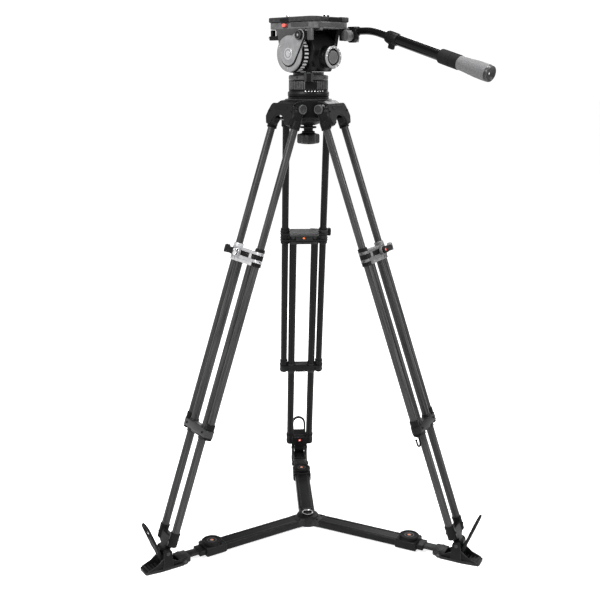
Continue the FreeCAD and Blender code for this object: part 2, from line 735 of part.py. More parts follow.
def make_plate_lever():
    """The hooked lever on the post under the deck's front left corner, which locks the camera plate."""
    x, y = LEVER_POST
    pin = cylinder(dim.hinge_bolt_radius, 18, (x, y, 1272))
    hub = cylinder(9.5, 11, (x, y, 1268))
    arm = box(32, 11, 10, (x - 16, y, 1268))
    finger = box(8, 11, 24, (x - 23, y, 1268))
    tip = cylinder(4.5, 5, (x - 31.5, y, 1273), -AXIS_X)
    return node("plate_lock_lever", fuse(pin, hub, arm, finger, tip), head_frame())


def make_release_button():
    """The red push button on the deck's left side."""
    button = cylinder(5, 16, (-15, -68.5, float(dim.platform_top) - 19), AXIS_Y)
    return node("release_button", button, head_frame())


def make_camera_plate():
    """The dovetailed sliding plate, slotted for the camera screws."""
    top = float(dim.platform_top)
    plate = prism("YZ_Plane", [
        (-34, top - 11.7), (34, top - 11.7), (30.6, top), (-30.6, top),
    ], dim.plate_length)
    slots = []
    for x, y in ((-40, -18), (24, 18)):
        slots.append(box(34, 6.6, 30, (x, y, top - 20)))
        slots += [cylinder(3.3, 30, (x + dx, y, top - 20)) for dx in (-17, 17)]
        slots.append(box(44, 13, 8.7, (x, y, top - 14)))
    screw_holes = [cylinder(5.2, 30, (-54, -18, top - 20))]
    return node("camera_plate", cut(plate, *slots, *screw_holes), head_frame())


def make_camera_screws():
    """The 3/8 inch and 1/4 inch camera screws in the plate's slots."""
    top = float(dim.platform_top)
    screws = []
    for thread_radius, x, y in ((4.76, -54, -18), (3.175, 36, 18)):
        thread = cylinder(thread_radius, 6.5, (x, y, top + 0.5))
        shank = cylinder(thread_radius - 0.7, 8, (x, y, top - 7.3))
        cap = cylinder(6.2, 3.6, (x, y, top - 10.8))
        screws.append(fuse(thread, shank, cap))
    return node("camera_screws", group(*screws), head_frame())


# ---------------------------------------------------------------- pan bar

BAR_Y = 70.5
BAR_Z = 1288.0
BAR_ROOT = 85.5
BEND_X = 143.0


def bar_frame():
    """Origin at the bend of the bar, z along its sloping part."""
    slope = math.radians(float(dim.bar_slope))
    return along((BEND_X, BAR_Y, BAR_Z), Vector(math.cos(slope), 0, -math.sin(slope)))


def on_bar(shape):
    return turned_about(shape, head_frame().multiply(bar_frame()))


def make_bar_clamp():
    """The rosette clamp that holds the bar's root, with its eye and spacer."""
    block = prism("XZ_Plane", [
        (66, 1268), (74, 1262), (88, 1262), (96, 1270), (96, 1292), (92, 1299), (70, 1299), (66, 1294),
    ], 14)
    block.Placement.Base = Vector(0, 68.3, 0)
    spacer = cylinder(12, 4, (80, 58.3, 1278), AXIS_Y)
    socket = cylinder(dim.bar_radius, 60, (BAR_ROOT, BAR_Y, BAR_Z), AXIS_X)
    eye = cylinder(dim.hinge_bolt_radius + dim.running_fit, 40, (80, 50, 1278), AXIS_Y)
    return node("pan_bar_clamp", cut(fuse(block, spacer), socket, eye), head_frame())


def make_bar_knob():
    """The wing knob whose screw clamps the bar to the platform's rosette."""
    screw = cylinder(dim.hinge_bolt_radius, 34, (80, 43, 1278), AXIS_Y)
    neck = cylinder(5, 5, (80, 75.6, 1278), AXIS_Y)
    hub = cylinder(9, 4, (80, 79.4, 1278), AXIS_Y)
    wings = prism("XZ_Plane", [
        (-5, -15), (5, -15), (7, 0), (5, 15), (-5, 15), (-7, 0),
    ], 7)
    wings.Placement.Base = Vector(80, 83.5, 1278)
    return node("pan_bar_knob", fuse(screw, neck, hub, wings), head_frame())


def make_bar_inner():
    """The bar's bent inner tube."""
    straight = cylinder(dim.bar_radius, BEND_X - BAR_ROOT, (BAR_ROOT, BAR_Y, BAR_Z), AXIS_X)
    elbow = sphere(dim.bar_radius, (BEND_X, BAR_Y, BAR_Z))
    slope = cylinder(dim.bar_radius, 220)
    slope.Placement = bar_frame()
    return node("pan_bar_inner_tube", fuse(straight, elbow, slope), head_frame())


def make_bar_outer():
    """The bar's outer tube, which telescopes on the inner one."""
    outside = cylinder(dim.bar_outer_radius, 250, (0, 0, 85))
    inside = cylinder(dim.bar_radius + dim.running_fit, 240, (0, 0, 80))
    return node("pan_bar_outer_tube", on_bar(cut(outside, inside)))


def make_bar_collar():
    """The twist collar at the outer tube's mouth, with a small lever below."""
    body = lathe([
        (dim.bar_radius + dim.running_fit, 50), (13, 50), (14.5, 53), (14.5, 80), (13, 84.5),
        (dim.bar_radius + dim.running_fit, 84.5),
    ])
    lever = box(14, 8, 16, (18, 0, 60))
    return node("pan_bar_collar", on_bar(fuse(body, lever)))


def make_bar_grip():
    """The rubber collar, foam grip and slanted end cap on the outer tube."""
    grip = lathe([
        (dim.bar_outer_radius, 215), (15, 215), (16.5, 220), (16.5, 268), (15.5, 272), (16, 285),
        (dim.grip_radius, 318), (dim.grip_radius, 352), (15, 361), (0, 362), (0, 335.2),
        (dim.bar_outer_radius, 335.2),
    ])
    return node("pan_bar_grip", on_bar(grip))


def build():
    for name, azimuth in LEGS.items():
        make_yoke(name, azimuth)
        node(f"{name}_outer_tubes",
             tubes(dim.outer_radius, dim.outer_spacing, dim.outer_length, -9.0), leg_frame(azimuth))
        make_lower_bracket(name, azimuth)
        make_clamp_body(name, azimuth)
        make_lock_lever(name, azimuth)
        node(f"{name}_inner_tubes",
             tubes(dim.inner_radius, dim.inner_spacing, dim.inner_length, -354.0), leg_frame(azimuth))
        make_foot_bracket(name, azimuth)
        make_shoe(name, azimuth)
        make_loop(name, azimuth)
        make_sliding_arm(name, azimuth)
        make_arm_knob(name, azimuth)
    for make in (
        make_hub, make_outer_arms, make_apex, make_hinge_bolts, make_clamp_dish, make_half_ball,
        make_tie_down_knob, make_pan_base, make_pan_drag_ring, make_pan_lock_lever, make_housing,
        make_tilt_drag_ring, make_dial, make_tilt_axle, make_platform, make_side_disc,
        make_tilt_lock_knob, make_plate_lever, make_release_button, make_camera_plate,
        make_camera_screws, make_bar_clamp, make_bar_knob, make_bar_inner, make_bar_outer,
        make_bar_collar, make_bar_grip,
    ):
        make()


def write_parts():
    doc.recompute()
    for obj in doc.Objects:
        if "Invalid" in obj.State or "Error" in obj.State:
            raise RuntimeError(f"{obj.Label} is {obj.State}")
    for piece in nodes:
        if piece.Shape.isNull() or not piece.Shape.isValid() or not piece.Shape.Solids:
            raise RuntimeError(f"{piece.Label} has no valid shape")
    os.makedirs("parts", exist_ok=True)
    for piece in nodes:
        piece.Shape.exportStep(f"parts/{piece.Label}.step")
        print(piece.Label, len(piece.Shape.Solids), round(piece.Shape.Volume))


build()
write_parts()
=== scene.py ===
"""Looks of the two-stage video tripod: its CAD frame dressed with detailed meshes and materials.

Sizes are millimetres until Shape.build scales them to metres, and angles are degrees.
Leg frame: origin at the shoulder hinge, x lateral, y outward, z up along the leg.
Foot frame: origin on the floor under the hub, x lateral, y outward along the arm, z up.
Head frame: x towards the operator, y to the operator's right, z up from the floor.
"""

import json
import math

import bmesh
import bpy
from mathutils import Matrix, Vector


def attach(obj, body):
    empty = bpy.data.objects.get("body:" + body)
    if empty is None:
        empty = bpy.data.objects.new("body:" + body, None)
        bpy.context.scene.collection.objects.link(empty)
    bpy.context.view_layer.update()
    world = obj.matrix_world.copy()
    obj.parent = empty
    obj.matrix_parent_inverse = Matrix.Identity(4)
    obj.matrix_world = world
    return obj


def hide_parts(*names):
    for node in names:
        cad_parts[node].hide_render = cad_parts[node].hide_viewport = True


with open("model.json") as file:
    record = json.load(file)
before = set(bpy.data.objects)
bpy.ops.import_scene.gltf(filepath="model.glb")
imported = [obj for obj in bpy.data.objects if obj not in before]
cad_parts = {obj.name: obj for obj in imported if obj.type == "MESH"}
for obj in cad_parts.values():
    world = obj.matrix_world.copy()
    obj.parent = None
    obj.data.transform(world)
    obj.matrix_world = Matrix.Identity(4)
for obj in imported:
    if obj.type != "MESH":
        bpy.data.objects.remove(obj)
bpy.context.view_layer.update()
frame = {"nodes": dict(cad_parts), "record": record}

MM = Matrix.Scale(0.001, 4)
SIDES = (-1, 1)
LEGS = {"rear": 90.0, "left": 210.0, "right": 330.0}
LEVER_SIDE = {"rear": 1, "left": 1, "right": -1}
SHOULDER = Vector((0, 58, 1108))
FOOT = Vector((0, 425, 45))
LEG_LENGTH = (SHOULDER - FOOT).length
LEG_TILT = math.degrees(math.atan2(FOOT.y - SHOULDER.y, SHOULDER.z - FOOT.z))
TILT_HEIGHT = 1236.0
BLACK, DARK, MID, PLASTIC = "black_casting", "dark_grey_casting", "mid_casting", "black_plastic"


def turn(angle, axis="Z"):
    return Matrix.Rotation(math.radians(angle), 4, axis)


def move(x, y, z):
    return Matrix.Translation((x, y, z))


def up(z):
    return move(0, 0, z)


def pointing(axis):
    """Turns z onto an axis."""
    return Vector(axis).to_track_quat("Z", "Y").to_matrix().to_4x4()


def foot_frame(leg):
    return turn(LEGS[leg] - 90)


def leg_frame(leg):
    return foot_frame(leg) @ move(*SHOULDER) @ turn(LEG_TILT, "X")


HEAD = turn(-50)
UPRIGHT = turn(90, "X")


# ---------------------------------------------------------------- materials

class NodeTree:
    """Short ways to add shader nodes; a value given to a socket may be another node's output."""

    def __init__(self, tree):
        self.tree = tree

    def feed(self, socket, value):
        if isinstance(value, bpy.types.NodeSocket):
            self.tree.links.new(value, socket)
        else:
            socket.default_value = value

    def node(self, kind, **settings):
        """Adds a node; each setting is one of its properties or, failing that, one of its inputs."""
        made = self.tree.nodes.new(kind)
        for key, value in settings.items():
            if hasattr(made, key):
                setattr(made, key, value)
            else:
                self.feed(made.inputs[key.replace("_", " ").title()], value)
        return made

    def coords(self, which="Object"):
        return self.node("ShaderNodeTexCoord").outputs[which]


class Look(NodeTree):
    """A node material on the Principled shader."""

    def __init__(self, name, colour, roughness, metallic=0.0, ior=1.45):
        self.material = bpy.data.materials.new(name)
        self.material.use_nodes = True
        super().__init__(self.material.node_tree)
        self.shader = self.tree.nodes["Principled BSDF"]
        self.set("Base Color", (*colour, 1))
        self.set("Roughness", roughness)
        self.set("Metallic", metallic)
        self.set("IOR", ior)

    def set(self, socket, value):
        self.feed(self.shader.inputs[socket], value)

    def math(self, operation, *values):
        made = self.node("ShaderNodeMath", operation=operation)
        for socket, value in zip(made.inputs, values):
            self.feed(socket, value)
        return made.outputs[0]

    def noise(self, scale, detail, vector=None):
        made = self.node("ShaderNodeTexNoise", scale=scale, detail=detail, vector=vector or self.coords())
        return made.outputs["Fac"]

    def cells(self, scale):
        return self.node("ShaderNodeTexVoronoi", scale=scale, vector=self.coords()).outputs["Distance"]

    def ramp(self, factor, stops):
        made = self.node("ShaderNodeValToRGB", fac=factor)
        for element, (place, colour) in zip(made.color_ramp.elements, stops):
            element.position = place
            element.color = (*colour, 1)
        return made.outputs["Color"]

    def spread(self, factor, low, high):
        return self.node("ShaderNodeMapRange", value=factor, to_min=low, to_max=high).outputs["Result"]

    def mixed(self, factor, first, second):
        made = self.node("ShaderNodeMix", data_type="RGBA", factor=factor)
        for index, value in ((6, first), (7, second)):
            self.feed(made.inputs[index], (*value, 1) if isinstance(value, tuple) else value)
        return made.outputs[2]

    def bump(self, height, strength, distance):
        made = self.node("ShaderNodeBump", strength=strength, distance=distance)
        self.feed(made.inputs["Height"], height)
        self.set("Normal", made.outputs["Normal"])

    def grain(self, pattern, smoothest, roughest, strength, distance):
        """Lets one pattern drive both the roughness and the bump."""
        self.set("Roughness", self.spread(pattern, smoothest, roughest))
        self.bump(pattern, strength, distance)


def tint(colour, factor):
    return tuple(c * factor for c in colour)


def wear(look, base, worn, amount=0.5):
    """Base colour mottled a little, with lighter rubbed edges."""
    body = look.ramp(look.noise(35.0, 4.0), [(0.35, tint(base, 0.8)), (0.7, tint(base, 1.25))])
    edge = look.node("ShaderNodeMapRange", from_min=0.53, from_max=0.6, to_max=amount,
                     value=look.node("ShaderNodeNewGeometry").outputs["Pointiness"])
    patches = look.spread(look.noise(120.0, 2.0), 0.0, 1.6)
    look.set("Base Color", look.mixed(look.math("MULTIPLY", edge.outputs["Result"], patches), body, worn))


def make_casting(name, base, worn, roughness, metallic=0.0, ior=1.16):
    look = Look(name, base, roughness, metallic, ior)
    wear(look, base, (worn,) * 3)
    look.grain(look.noise(900.0, 2.0), roughness - 0.08, roughness + 0.1, 0.25, 0.0004)
    return look.material


def make_anodised(name, base):
    look = Look(name, base, 0.36, 0.2, 1.17)
    wear(look, base, tuple(c * 5 + 0.06 for c in base), 0.35)
    brushed = look.node("ShaderNodeMapping", scale=(40, 40, 900), vector=look.coords())
    look.grain(look.noise(3.0, 2.0, brushed.outputs["Vector"]), 0.3, 0.44, 0.08, 0.0002)
    return look.material


def make_plastic(name, base, roughness=0.42, ior=1.15):
    look = Look(name, base, roughness, ior=ior)
    stops = [(0.3, tint(base, 0.85)), (0.75, tint(base, 1.2))]
    look.set("Base Color", look.ramp(look.noise(60.0, 3.0), stops))
    look.grain(look.cells(1400.0), roughness - 0.05, roughness + 0.12, 0.2, 0.0003)
    return look.material


def make_rubber(name, base):
    look = Look(name, base, 0.7, ior=1.13)
    look.set("Base Color", look.ramp(look.noise(45.0, 5.0), [(0.3, base), (0.8, tint(base, 1.5))]))
    look.bump(look.noise(1500.0, 2.0), 0.35, 0.0005)
    return look.material


def make_foam():
    look = Look("grip_foam", (0.06, 0.06, 0.062), 0.85)
    look.set("Sheen Weight", 0.05)
    pores = look.cells(700.0)
    look.set("Base Color", look.ramp(pores, [(0.1, (0.03, 0.03, 0.031)), (0.5, (0.075, 0.075, 0.077))]))
    look.bump(pores, 0.5, 0.0008)
    return look.material


def make_carbon(name, dark, light, painted_highlight, ior):
    """A 2/2 twill of carbon tows under clear lacquer, laid out on the tube's own UVs, with painted highlight
    streaks along it.
    """
    look = Look(name, (dark,) * 3, 0.34, ior=ior)
    uv = look.node("ShaderNodeUVMap", uv_map="UVMap").outputs["UV"]
    round_tube, along_tube = look.node("ShaderNodeSeparateXYZ", vector=uv).outputs[:2]
    tow = look.math("ADD", look.math("FLOOR", round_tube), look.math("FLOOR", along_tube))
    warp = look.math("LESS_THAN", look.math("MODULO", tow, 4.0), 1.5)
    # Lighter lengthwise streaks mixed into the base colour: painted highlights along the tube.
    stretched = look.node("ShaderNodeMapping", scale=(1.5, 0.012, 1.0), vector=uv).outputs["Vector"]
    highlight_streaks = look.ramp(look.noise(2.0, 4.0, stretched), [(0.42, (0, 0, 0)), (0.68, (1, 1, 1))])
    look.set("Base Color", look.mixed(highlight_streaks, look.mixed(warp, (dark,) * 3, (light,) * 3), (painted_highlight,) * 3))
    weft = look.math("SUBTRACT", 1.0, warp)
    crowns = [look.math("MULTIPLY", tows, look.math("PINGPONG", look.math("FRACT", place), 0.5))
              for tows, place in ((warp, round_tube), (weft, along_tube))]
    look.bump(look.math("ADD", *crowns), 0.12, 0.0002)
    look.set("Roughness", look.spread(warp, 0.36, 0.3))
    return look.material


def make_gloss():
    """Deep black lacquer with a faint orange peel."""
    look = Look("gloss_black", (0.0015, 0.0015, 0.0016), 0.18, ior=1.24)
    look.grain(look.noise(140.0, 2.0), 0.16, 0.24, 0.05, 0.0002)
    return look.material


def make_metal(name, base, roughness):
    look = Look(name, base, roughness, 1.0)
    look.grain(look.noise(400.0, 4.0), roughness - 0.07, roughness + 0.12, 0.08, 0.0001)
    return look.material


LOOKS = {
    "black_casting": make_casting("black_casting_paint", (0.0035, 0.0035, 0.0037), 0.05, 0.36),
    "grey_casting": make_casting("grey_casting_paint", (0.3, 0.3, 0.31), 0.6, 0.34, 0.5, 1.4),
    "mid_casting": make_casting("mid_grey_paint", (0.06, 0.06, 0.061), 0.25, 0.4, 0.1, 1.35),
    "body_casting": make_casting("body_grey_paint", (0.028, 0.028, 0.0285), 0.14, 0.34, ior=1.28),
    "dark_grey_casting": make_casting("dark_grey_paint", (0.016, 0.016, 0.0165), 0.12, 0.34, ior=1.25),
    "anodised": make_anodised("black_anodised", (0.004, 0.004, 0.0042)),
    "side_grey": make_plastic("side_cover_grey", (0.13, 0.13, 0.133), 0.36, 1.4),
    "rib_grey": make_plastic("rib_grey", (0.24, 0.24, 0.24), 0.5, 1.4),
    "black_plastic": make_plastic("moulded_black", (0.004, 0.004, 0.0042)),
    "gloss_black": make_gloss(),
    "rubber": make_rubber("black_rubber", (0.006, 0.006, 0.0063)),
    "foam": make_foam(),
    "carbon_tube": make_carbon("carbon_twill", 0.006, 0.011, 0.05, 1.26),
    # A darker copy of the carbon twill for the rear leg's tubes: painted shade.
    "carbon_painted_shade": make_carbon("carbon_twill_painted_shade", 0.003, 0.005, 0.009, 1.14),
    "steel": make_metal("bright_steel", (0.6, 0.6, 0.6), 0.3),
    "chrome": make_metal("chrome_cap", (0.75, 0.75, 0.76), 0.15),
    "red_button": make_plastic("red_plastic", (0.6, 0.075, 0.06), 0.35, 1.45),
    "orange_mark": make_plastic("orange_mark", (0.8, 0.16, 0.03), 0.5, 1.4),
    "white_mark": make_plastic("white_print", (0.75, 0.75, 0.75), 0.6, 1.4),
}


def dress_nodes():
    """Gives each CAD node its slot's look and a small bevel."""
    slots = {s["node"]: s["material_slot"] for s in frame["record"]["subparts"]}
    for name, obj in frame["nodes"].items():
        obj.data.materials.clear()
        obj.data.materials.append(LOOKS[slots[name]])
        bevel = obj.modifiers.new("edges", "BEVEL")
        bevel.width = 0.0006
        bevel.segments = 2
        bevel.limit_method = "ANGLE"
        bevel.angle_limit = math.radians(35)


# ---------------------------------------------------------------- mesh building

def polar(radius, angle, cx=0.0, cy=0.0):
    """The point at an angle on a circle."""
    return cx + radius * math.cos(math.radians(angle)), cy + radius * math.sin(math.radians(angle))


def arc(cx, cy, radius, start, end, steps=12):
    return [polar(radius, start + (end - start) * i / steps, cx, cy) for i in range(steps + 1)]


def rounded(width, height, radius, cx=0.0, cy=0.0):
    """A rectangle with round corners, centred on (cx, cy)."""
    x, y = width / 2 - radius, height / 2 - radius
    corners = ((x, y, 0), (-x, y, 90), (-x, -y, 180), (x, -y, 270))
    return [p for px, py, a in corners for p in arc(cx + px, cy + py, radius, a, a + 90, 6)]


def circle(radius, cx=0.0, steps=40):
    return arc(cx, 0, radius, 0, 360, steps)[:-1]


def teardrop(first, second, steps=24):
    """The outline round two circles, each (x, y, radius), joined by their tangents."""
    (ax, ay, ar), (bx, by, br) = first, second
    gap = math.hypot(bx - ax, by - ay)
    heading = math.degrees(math.atan2(by - ay, bx - ax))
    lean = math.degrees(math.acos((ar - br) / gap))
    outer = arc(ax, ay, ar, heading + lean, heading + 360 - lean, steps)
    return outer + arc(bx, by, br, heading - lean, heading + lean, steps)


def gear(radius, depth, count, share=0.55):
    """The outline of a ribbed ring: flat-topped ribs round a circle."""
    rib = ((0, radius - depth), (1 - share, radius - depth), (1.06 - share, radius), (0.94, radius))
    return [polar(r, 360 / count * (i + part)) for i in range(count) for part, r in rib]


class Shape:
    """Gathers bevelled parts, each with its own look, into one mesh."""

    def __init__(self):
        self.bm = bmesh.new()
        self.uv = self.bm.loops.layers.uv.new("UVMap")
        self.looks = []

    def _finish(self, faces, look, place):
        if look not in self.looks:
            self.looks.append(look)
        for face in faces:
            face.material_index = self.looks.index(look)
            face.smooth = True
        bmesh.ops.transform(self.bm, matrix=place, verts=list({v for f in faces for v in f.verts}))

    def _absorb(self, mesh, look, place):
        before = len(self.bm.faces)
        self.bm.from_mesh(mesh)
        self.bm.faces.ensure_lookup_table()
        self._finish(self.bm.faces[before:], look, place)
        bpy.data.meshes.remove(mesh)

    def _absorb_curve(self, curve, look, place):
        holder = bpy.data.objects.new(curve.name, curve)
        self._absorb(bpy.data.meshes.new_from_object(holder), look, place)
        bpy.data.objects.remove(holder)
        bpy.data.curves.remove(curve)

    def _ring(self, radius, height, segments):
        if radius < 1e-6:
            return [self.bm.verts.new((0, 0, height))]
        return [self.bm.verts.new((*polar(radius, 360 * i / segments), height)) for i in range(segments)]

    def lathe(self, profile, look, place=Matrix(), segments=64, tows=24):
        """A surface turned about z from (radius, height) points, its UVs counting tows round and along."""
        rings = [self._ring(radius, height, segments) for radius, height in profile]
        faces = []
        run = 0.0
        for low, high, (low_r, low_z), (high_r, high_z) in zip(rings, rings[1:], profile, profile[1:]):
            length = math.hypot(high_r - low_r, high_z - low_z)
            step = 2 * math.pi * max(low_r, high_r, 1e-6) / tows
            for i in range(segments):
                corners = {}
                for ring, k, v in ((low, i, 0), (low, i + 1, 0), (high, i + 1, 1), (high, i, 1)):
                    vertex = ring[k % len(ring)]
                    corners.setdefault(vertex, (k * tows / segments, (run + v * length) / step))
                if len(corners) < 3:
                    continue
                face = self.bm.faces.new(list(corners))
                for loop, mark in zip(face.loops, corners.values()):
                    loop[self.uv].uv = mark
                faces.append(face)
            run += length
        self._finish(faces, look, place)

    def rod(self, radius, start, end, look, bevel=0.6, segments=40):
        """A round bar between two points, with broken edges."""
        axis = Vector(end) - Vector(start)
        length = axis.length
        profile = [(0, 0), (radius - bevel, 0), (radius, bevel), (radius, length - bevel),
                   (radius - bevel, length), (0, length)]
        self.lathe(profile, look, move(*start) @ pointing(axis), segments)

    def plate(self, outlines, depth, look, place=Matrix(), bevel=0.6, steps=2):
        """A flat plate centred on its own xy plane; outlines after the first are holes."""
        curve = bpy.data.curves.new("plate", "CURVE")
        curve.dimensions = "2D"
        curve.fill_mode = "BOTH"
        curve.extrude = max(depth / 2 - bevel, 0.0)
        curve.bevel_depth = bevel
        curve.bevel_resolution = steps
        curve.offset = -bevel
        for outline in outlines:
            spline = curve.splines.new("POLY")
            spline.points.add(len(outline) - 1)
            for point, (x, y) in zip(spline.points, outline):
                point.co = (x, y, 0, 1)
            spline.use_cyclic_u = True
        self._absorb_curve(curve, look, place)

    def block(self, size, look, place=Matrix(), bevel=1.0, steps=2):
        """A box centred on its own origin with rounded edges."""
        made = bmesh.new()
        bmesh.ops.create_cube(made, size=1.0, matrix=Matrix.Diagonal((*size, 1)))
        bmesh.ops.bevel(made, geom=list(made.edges) + list(made.verts), offset=bevel, segments=steps,
                        profile=0.5, affect="EDGES")
        mesh = bpy.data.meshes.new("block")
        made.to_mesh(mesh)
        made.free()
        self._absorb(mesh, look, place)

    def sweep(self, points, radius, look, segments=16):
        """A round bar along a smooth path."""
        path = [Vector(p) for p in points]
        side = (path[1] - path[0]).orthogonal().normalized()
        rings = []
        for i, centre in enumerate(path):
            tangent = (path[min(i + 1, len(path) - 1)] - path[max(i - 1, 0)]).normalized()
            side = (side - tangent * side.dot(tangent)).normalized()
            up = tangent.cross(side)
            spokes = (polar(radius, 360 * k / segments) for k in range(segments))
            rings.append([self.bm.verts.new(centre + side * x + up * y) for x, y in spokes])
        faces = [self.bm.faces.new([low[k - 1], low[k], high[k], high[k - 1]])
                 for low, high in zip(rings, rings[1:]) for k in range(segments)]
        faces += [self.bm.faces.new(rings[0][::-1]), self.bm.faces.new(rings[-1])]
        self._finish(faces, look, Matrix())

    def words(self, text, height, look, place):
        """Raised figures on the xy plane, centred on the origin."""
        curve = bpy.data.curves.new("figures", "FONT")
        curve.body = text
        curve.size = height
        curve.align_x = "CENTER"
        curve.align_y = "CENTER"
        curve.extrude = 0.1
        self._absorb_curve(curve, look, place)

    def build(self, name, body, replaces=(), remesh=None, place=HEAD):
        """Makes the object, in metres, riding on its body."""
        bmesh.ops.recalc_face_normals(self.bm, faces=self.bm.faces)
        mesh = bpy.data.meshes.new(name)
        self.bm.to_mesh(mesh)
        self.bm.free()
        mesh.transform(MM @ place)
        obj = bpy.data.objects.new(name, mesh)
        bpy.context.scene.collection.objects.link(obj)
        for look in self.looks:
            mesh.materials.append(LOOKS[look])
        if remesh:
            cast(obj, remesh)
        obj.data.set_sharp_from_angle(angle=math.radians(32))
        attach(obj, body)
        if replaces:
            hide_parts(*replaces)


def cast(obj, voxel):
    """Melts overlapping parts into one casting with filleted joins."""
    remesh = obj.modifiers.new("melt", "REMESH")
    remesh.mode = "VOXEL"
    remesh.voxel_size = voxel * 0.001
    remesh.use_smooth_shade = True
    smooth = obj.modifiers.new("fillets", "SMOOTH")
    smooth.factor = 0.6
    smooth.iterations = 5
    graph = bpy.context.evaluated_depsgraph_get()
    melted = bpy.data.meshes.new_from_object(obj.evaluated_get(graph))
    materials = list(obj.data.materials)
    obj.modifiers.clear()
    obj.data = melted
    melted.materials.clear()
    for material in materials:
        melted.materials.append(material)


# ---------------------------------------------------------------- legs

OUTER_X = 51.5
INNER_X = 29.3
OUTER_TUBE = 9.1
INNER_TUBE = 10.0
# Stands a plate up with its own x along y, its y along z and its depth along x
STAND = Matrix(((0, 0, 1, 0), (1, 0, 0, 0), (0, 1, 0, 0), (0, 0, 0, 1)))
OUTER_SPAN = (-819.0, -9.0)
INNER_SPAN = (-1092.0, -354.0)
CLAMP = -366.0
BRACKET = -804.0
LEVER_X = 22
ARM_HEIGHT = 15
KNOB_REACH = 293


def fit(shape, leg, piece, body, node=None, remesh=None, at=None):
    """Builds a leg's piece, in the leg frame if no other place is given."""
    shape.build(f"{leg}_{piece}", f"{leg}_{body}", [f"{leg}_{node}"] if node else (), remesh,
                leg_frame(leg) if at is None else at)


def tube_pair(name, piece, body, x, radius, low, high):
    """Two carbon tubes; the rear leg's get a darker copy of the carbon, painted shade for the shade they
    stand in.
    """
    shape = Shape()
    look = "carbon_painted_shade" if name == "rear" else "carbon_tube"
    profile = [(radius - 1.5, low), (radius - 0.4, low), (radius, low + 0.5), (radius, high - 0.5),
               (radius - 0.4, high), (radius - 1.5, high)]
    for side in SIDES:
        shape.lathe(profile, look, move(side * x, 0, 0), 48, 20)
    fit(shape, name, piece, body, piece)


def screw(shape, x, y, z, axis, look=PLASTIC, radius=3.0):
    """A socket-head screw whose head stands proud along the axis."""
    profile = [(0, 0.4), (radius * 0.5, 0.4), (radius * 0.55, 1.6), (radius * 0.85, 1.8), (radius, 1.3),
               (radius, -0.5)]
    shape.lathe(profile, look, move(x, y, z) @ pointing(axis), segments=24)


def ferrule(shape, x, low, high, radius, look, rings=3):
    """A moulded sleeve round a tube, with shallow grip rings at its lower end."""
    profile = [(OUTER_TUBE + 0.1, low), (radius - 0.8, low), (radius, low + 0.8)]
    for i in range(rings):
        z = low + 3 + i * 3
        profile += [(radius, z), (radius - 0.5, z + 0.5), (radius - 0.5, z + 1.3), (radius, z + 1.8)]
    profile += [(radius, high - 1), (radius - 1, high), (OUTER_TUBE + 0.1, high)]
    shape.lathe(profile, look, move(x, 0, 0), segments=48)


def yoke(name):
    """The fork casting: hinge eyes, an arched shield in front, corner webs and dark tube ferrules."""
    casting = Shape()
    web = ((60, -8), (60, -26), (55, -42), (42, -47), (30, -38), (24, -27), (40, -8))
    for side in SIDES:
        casting.rod(12, (side * 39.6, 0, 0), (side * 62.5, 0, 0), BLACK, 1.2)
        casting.rod(11, (side * OUTER_X, 0, -32), (side * OUTER_X, 0, 2), BLACK, 1.0)
        casting.block((15, 18, 15), BLACK, move(side * 48.5, 9.4, -6), 3.0)
        casting.plate([[(side * x, z) for x, z in web]], 20, BLACK, move(0, 7, 0) @ UPRIGHT, bevel=2.5)
    casting.block((84, 15, 6), BLACK, up(-25), 2.0)
    flat_arc = [(x, z * 25 / 30) for x, z in arc(0, 0, 30, 15, 165, 15)]
    arch = [(-61, -27), (-58, -14), (-50, 3), (-43, 8), (43, 8), (50, 3), (58, -14), (61, -27)]
    arch += [(51, -44), (42, -46), *((x, z - 47) for x, z in flat_arc), (-42, -46), (-51, -44)]
    casting.plate([arch], 5, BLACK, move(0, 18.2, 0) @ UPRIGHT, bevel=1.6)
    fit(casting, name, "yoke_casting", "leg_upper", "leg_yoke", 1.3)
    sleeves = Shape()
    for side in SIDES:
        ferrule(sleeves, side * OUTER_X, -50, -30, 12.2, PLASTIC, 2)
        screw(sleeves, side * 50, 20.6, -12, (0, 1, 0), radius=2.4)
    sleeves.plate([rounded(58, 9, 2)], 0.8, PLASTIC, move(0, 20.9, -4) @ UPRIGHT, bevel=0.3)
    fit(sleeves, name, "yoke_ferrules", "leg_upper")


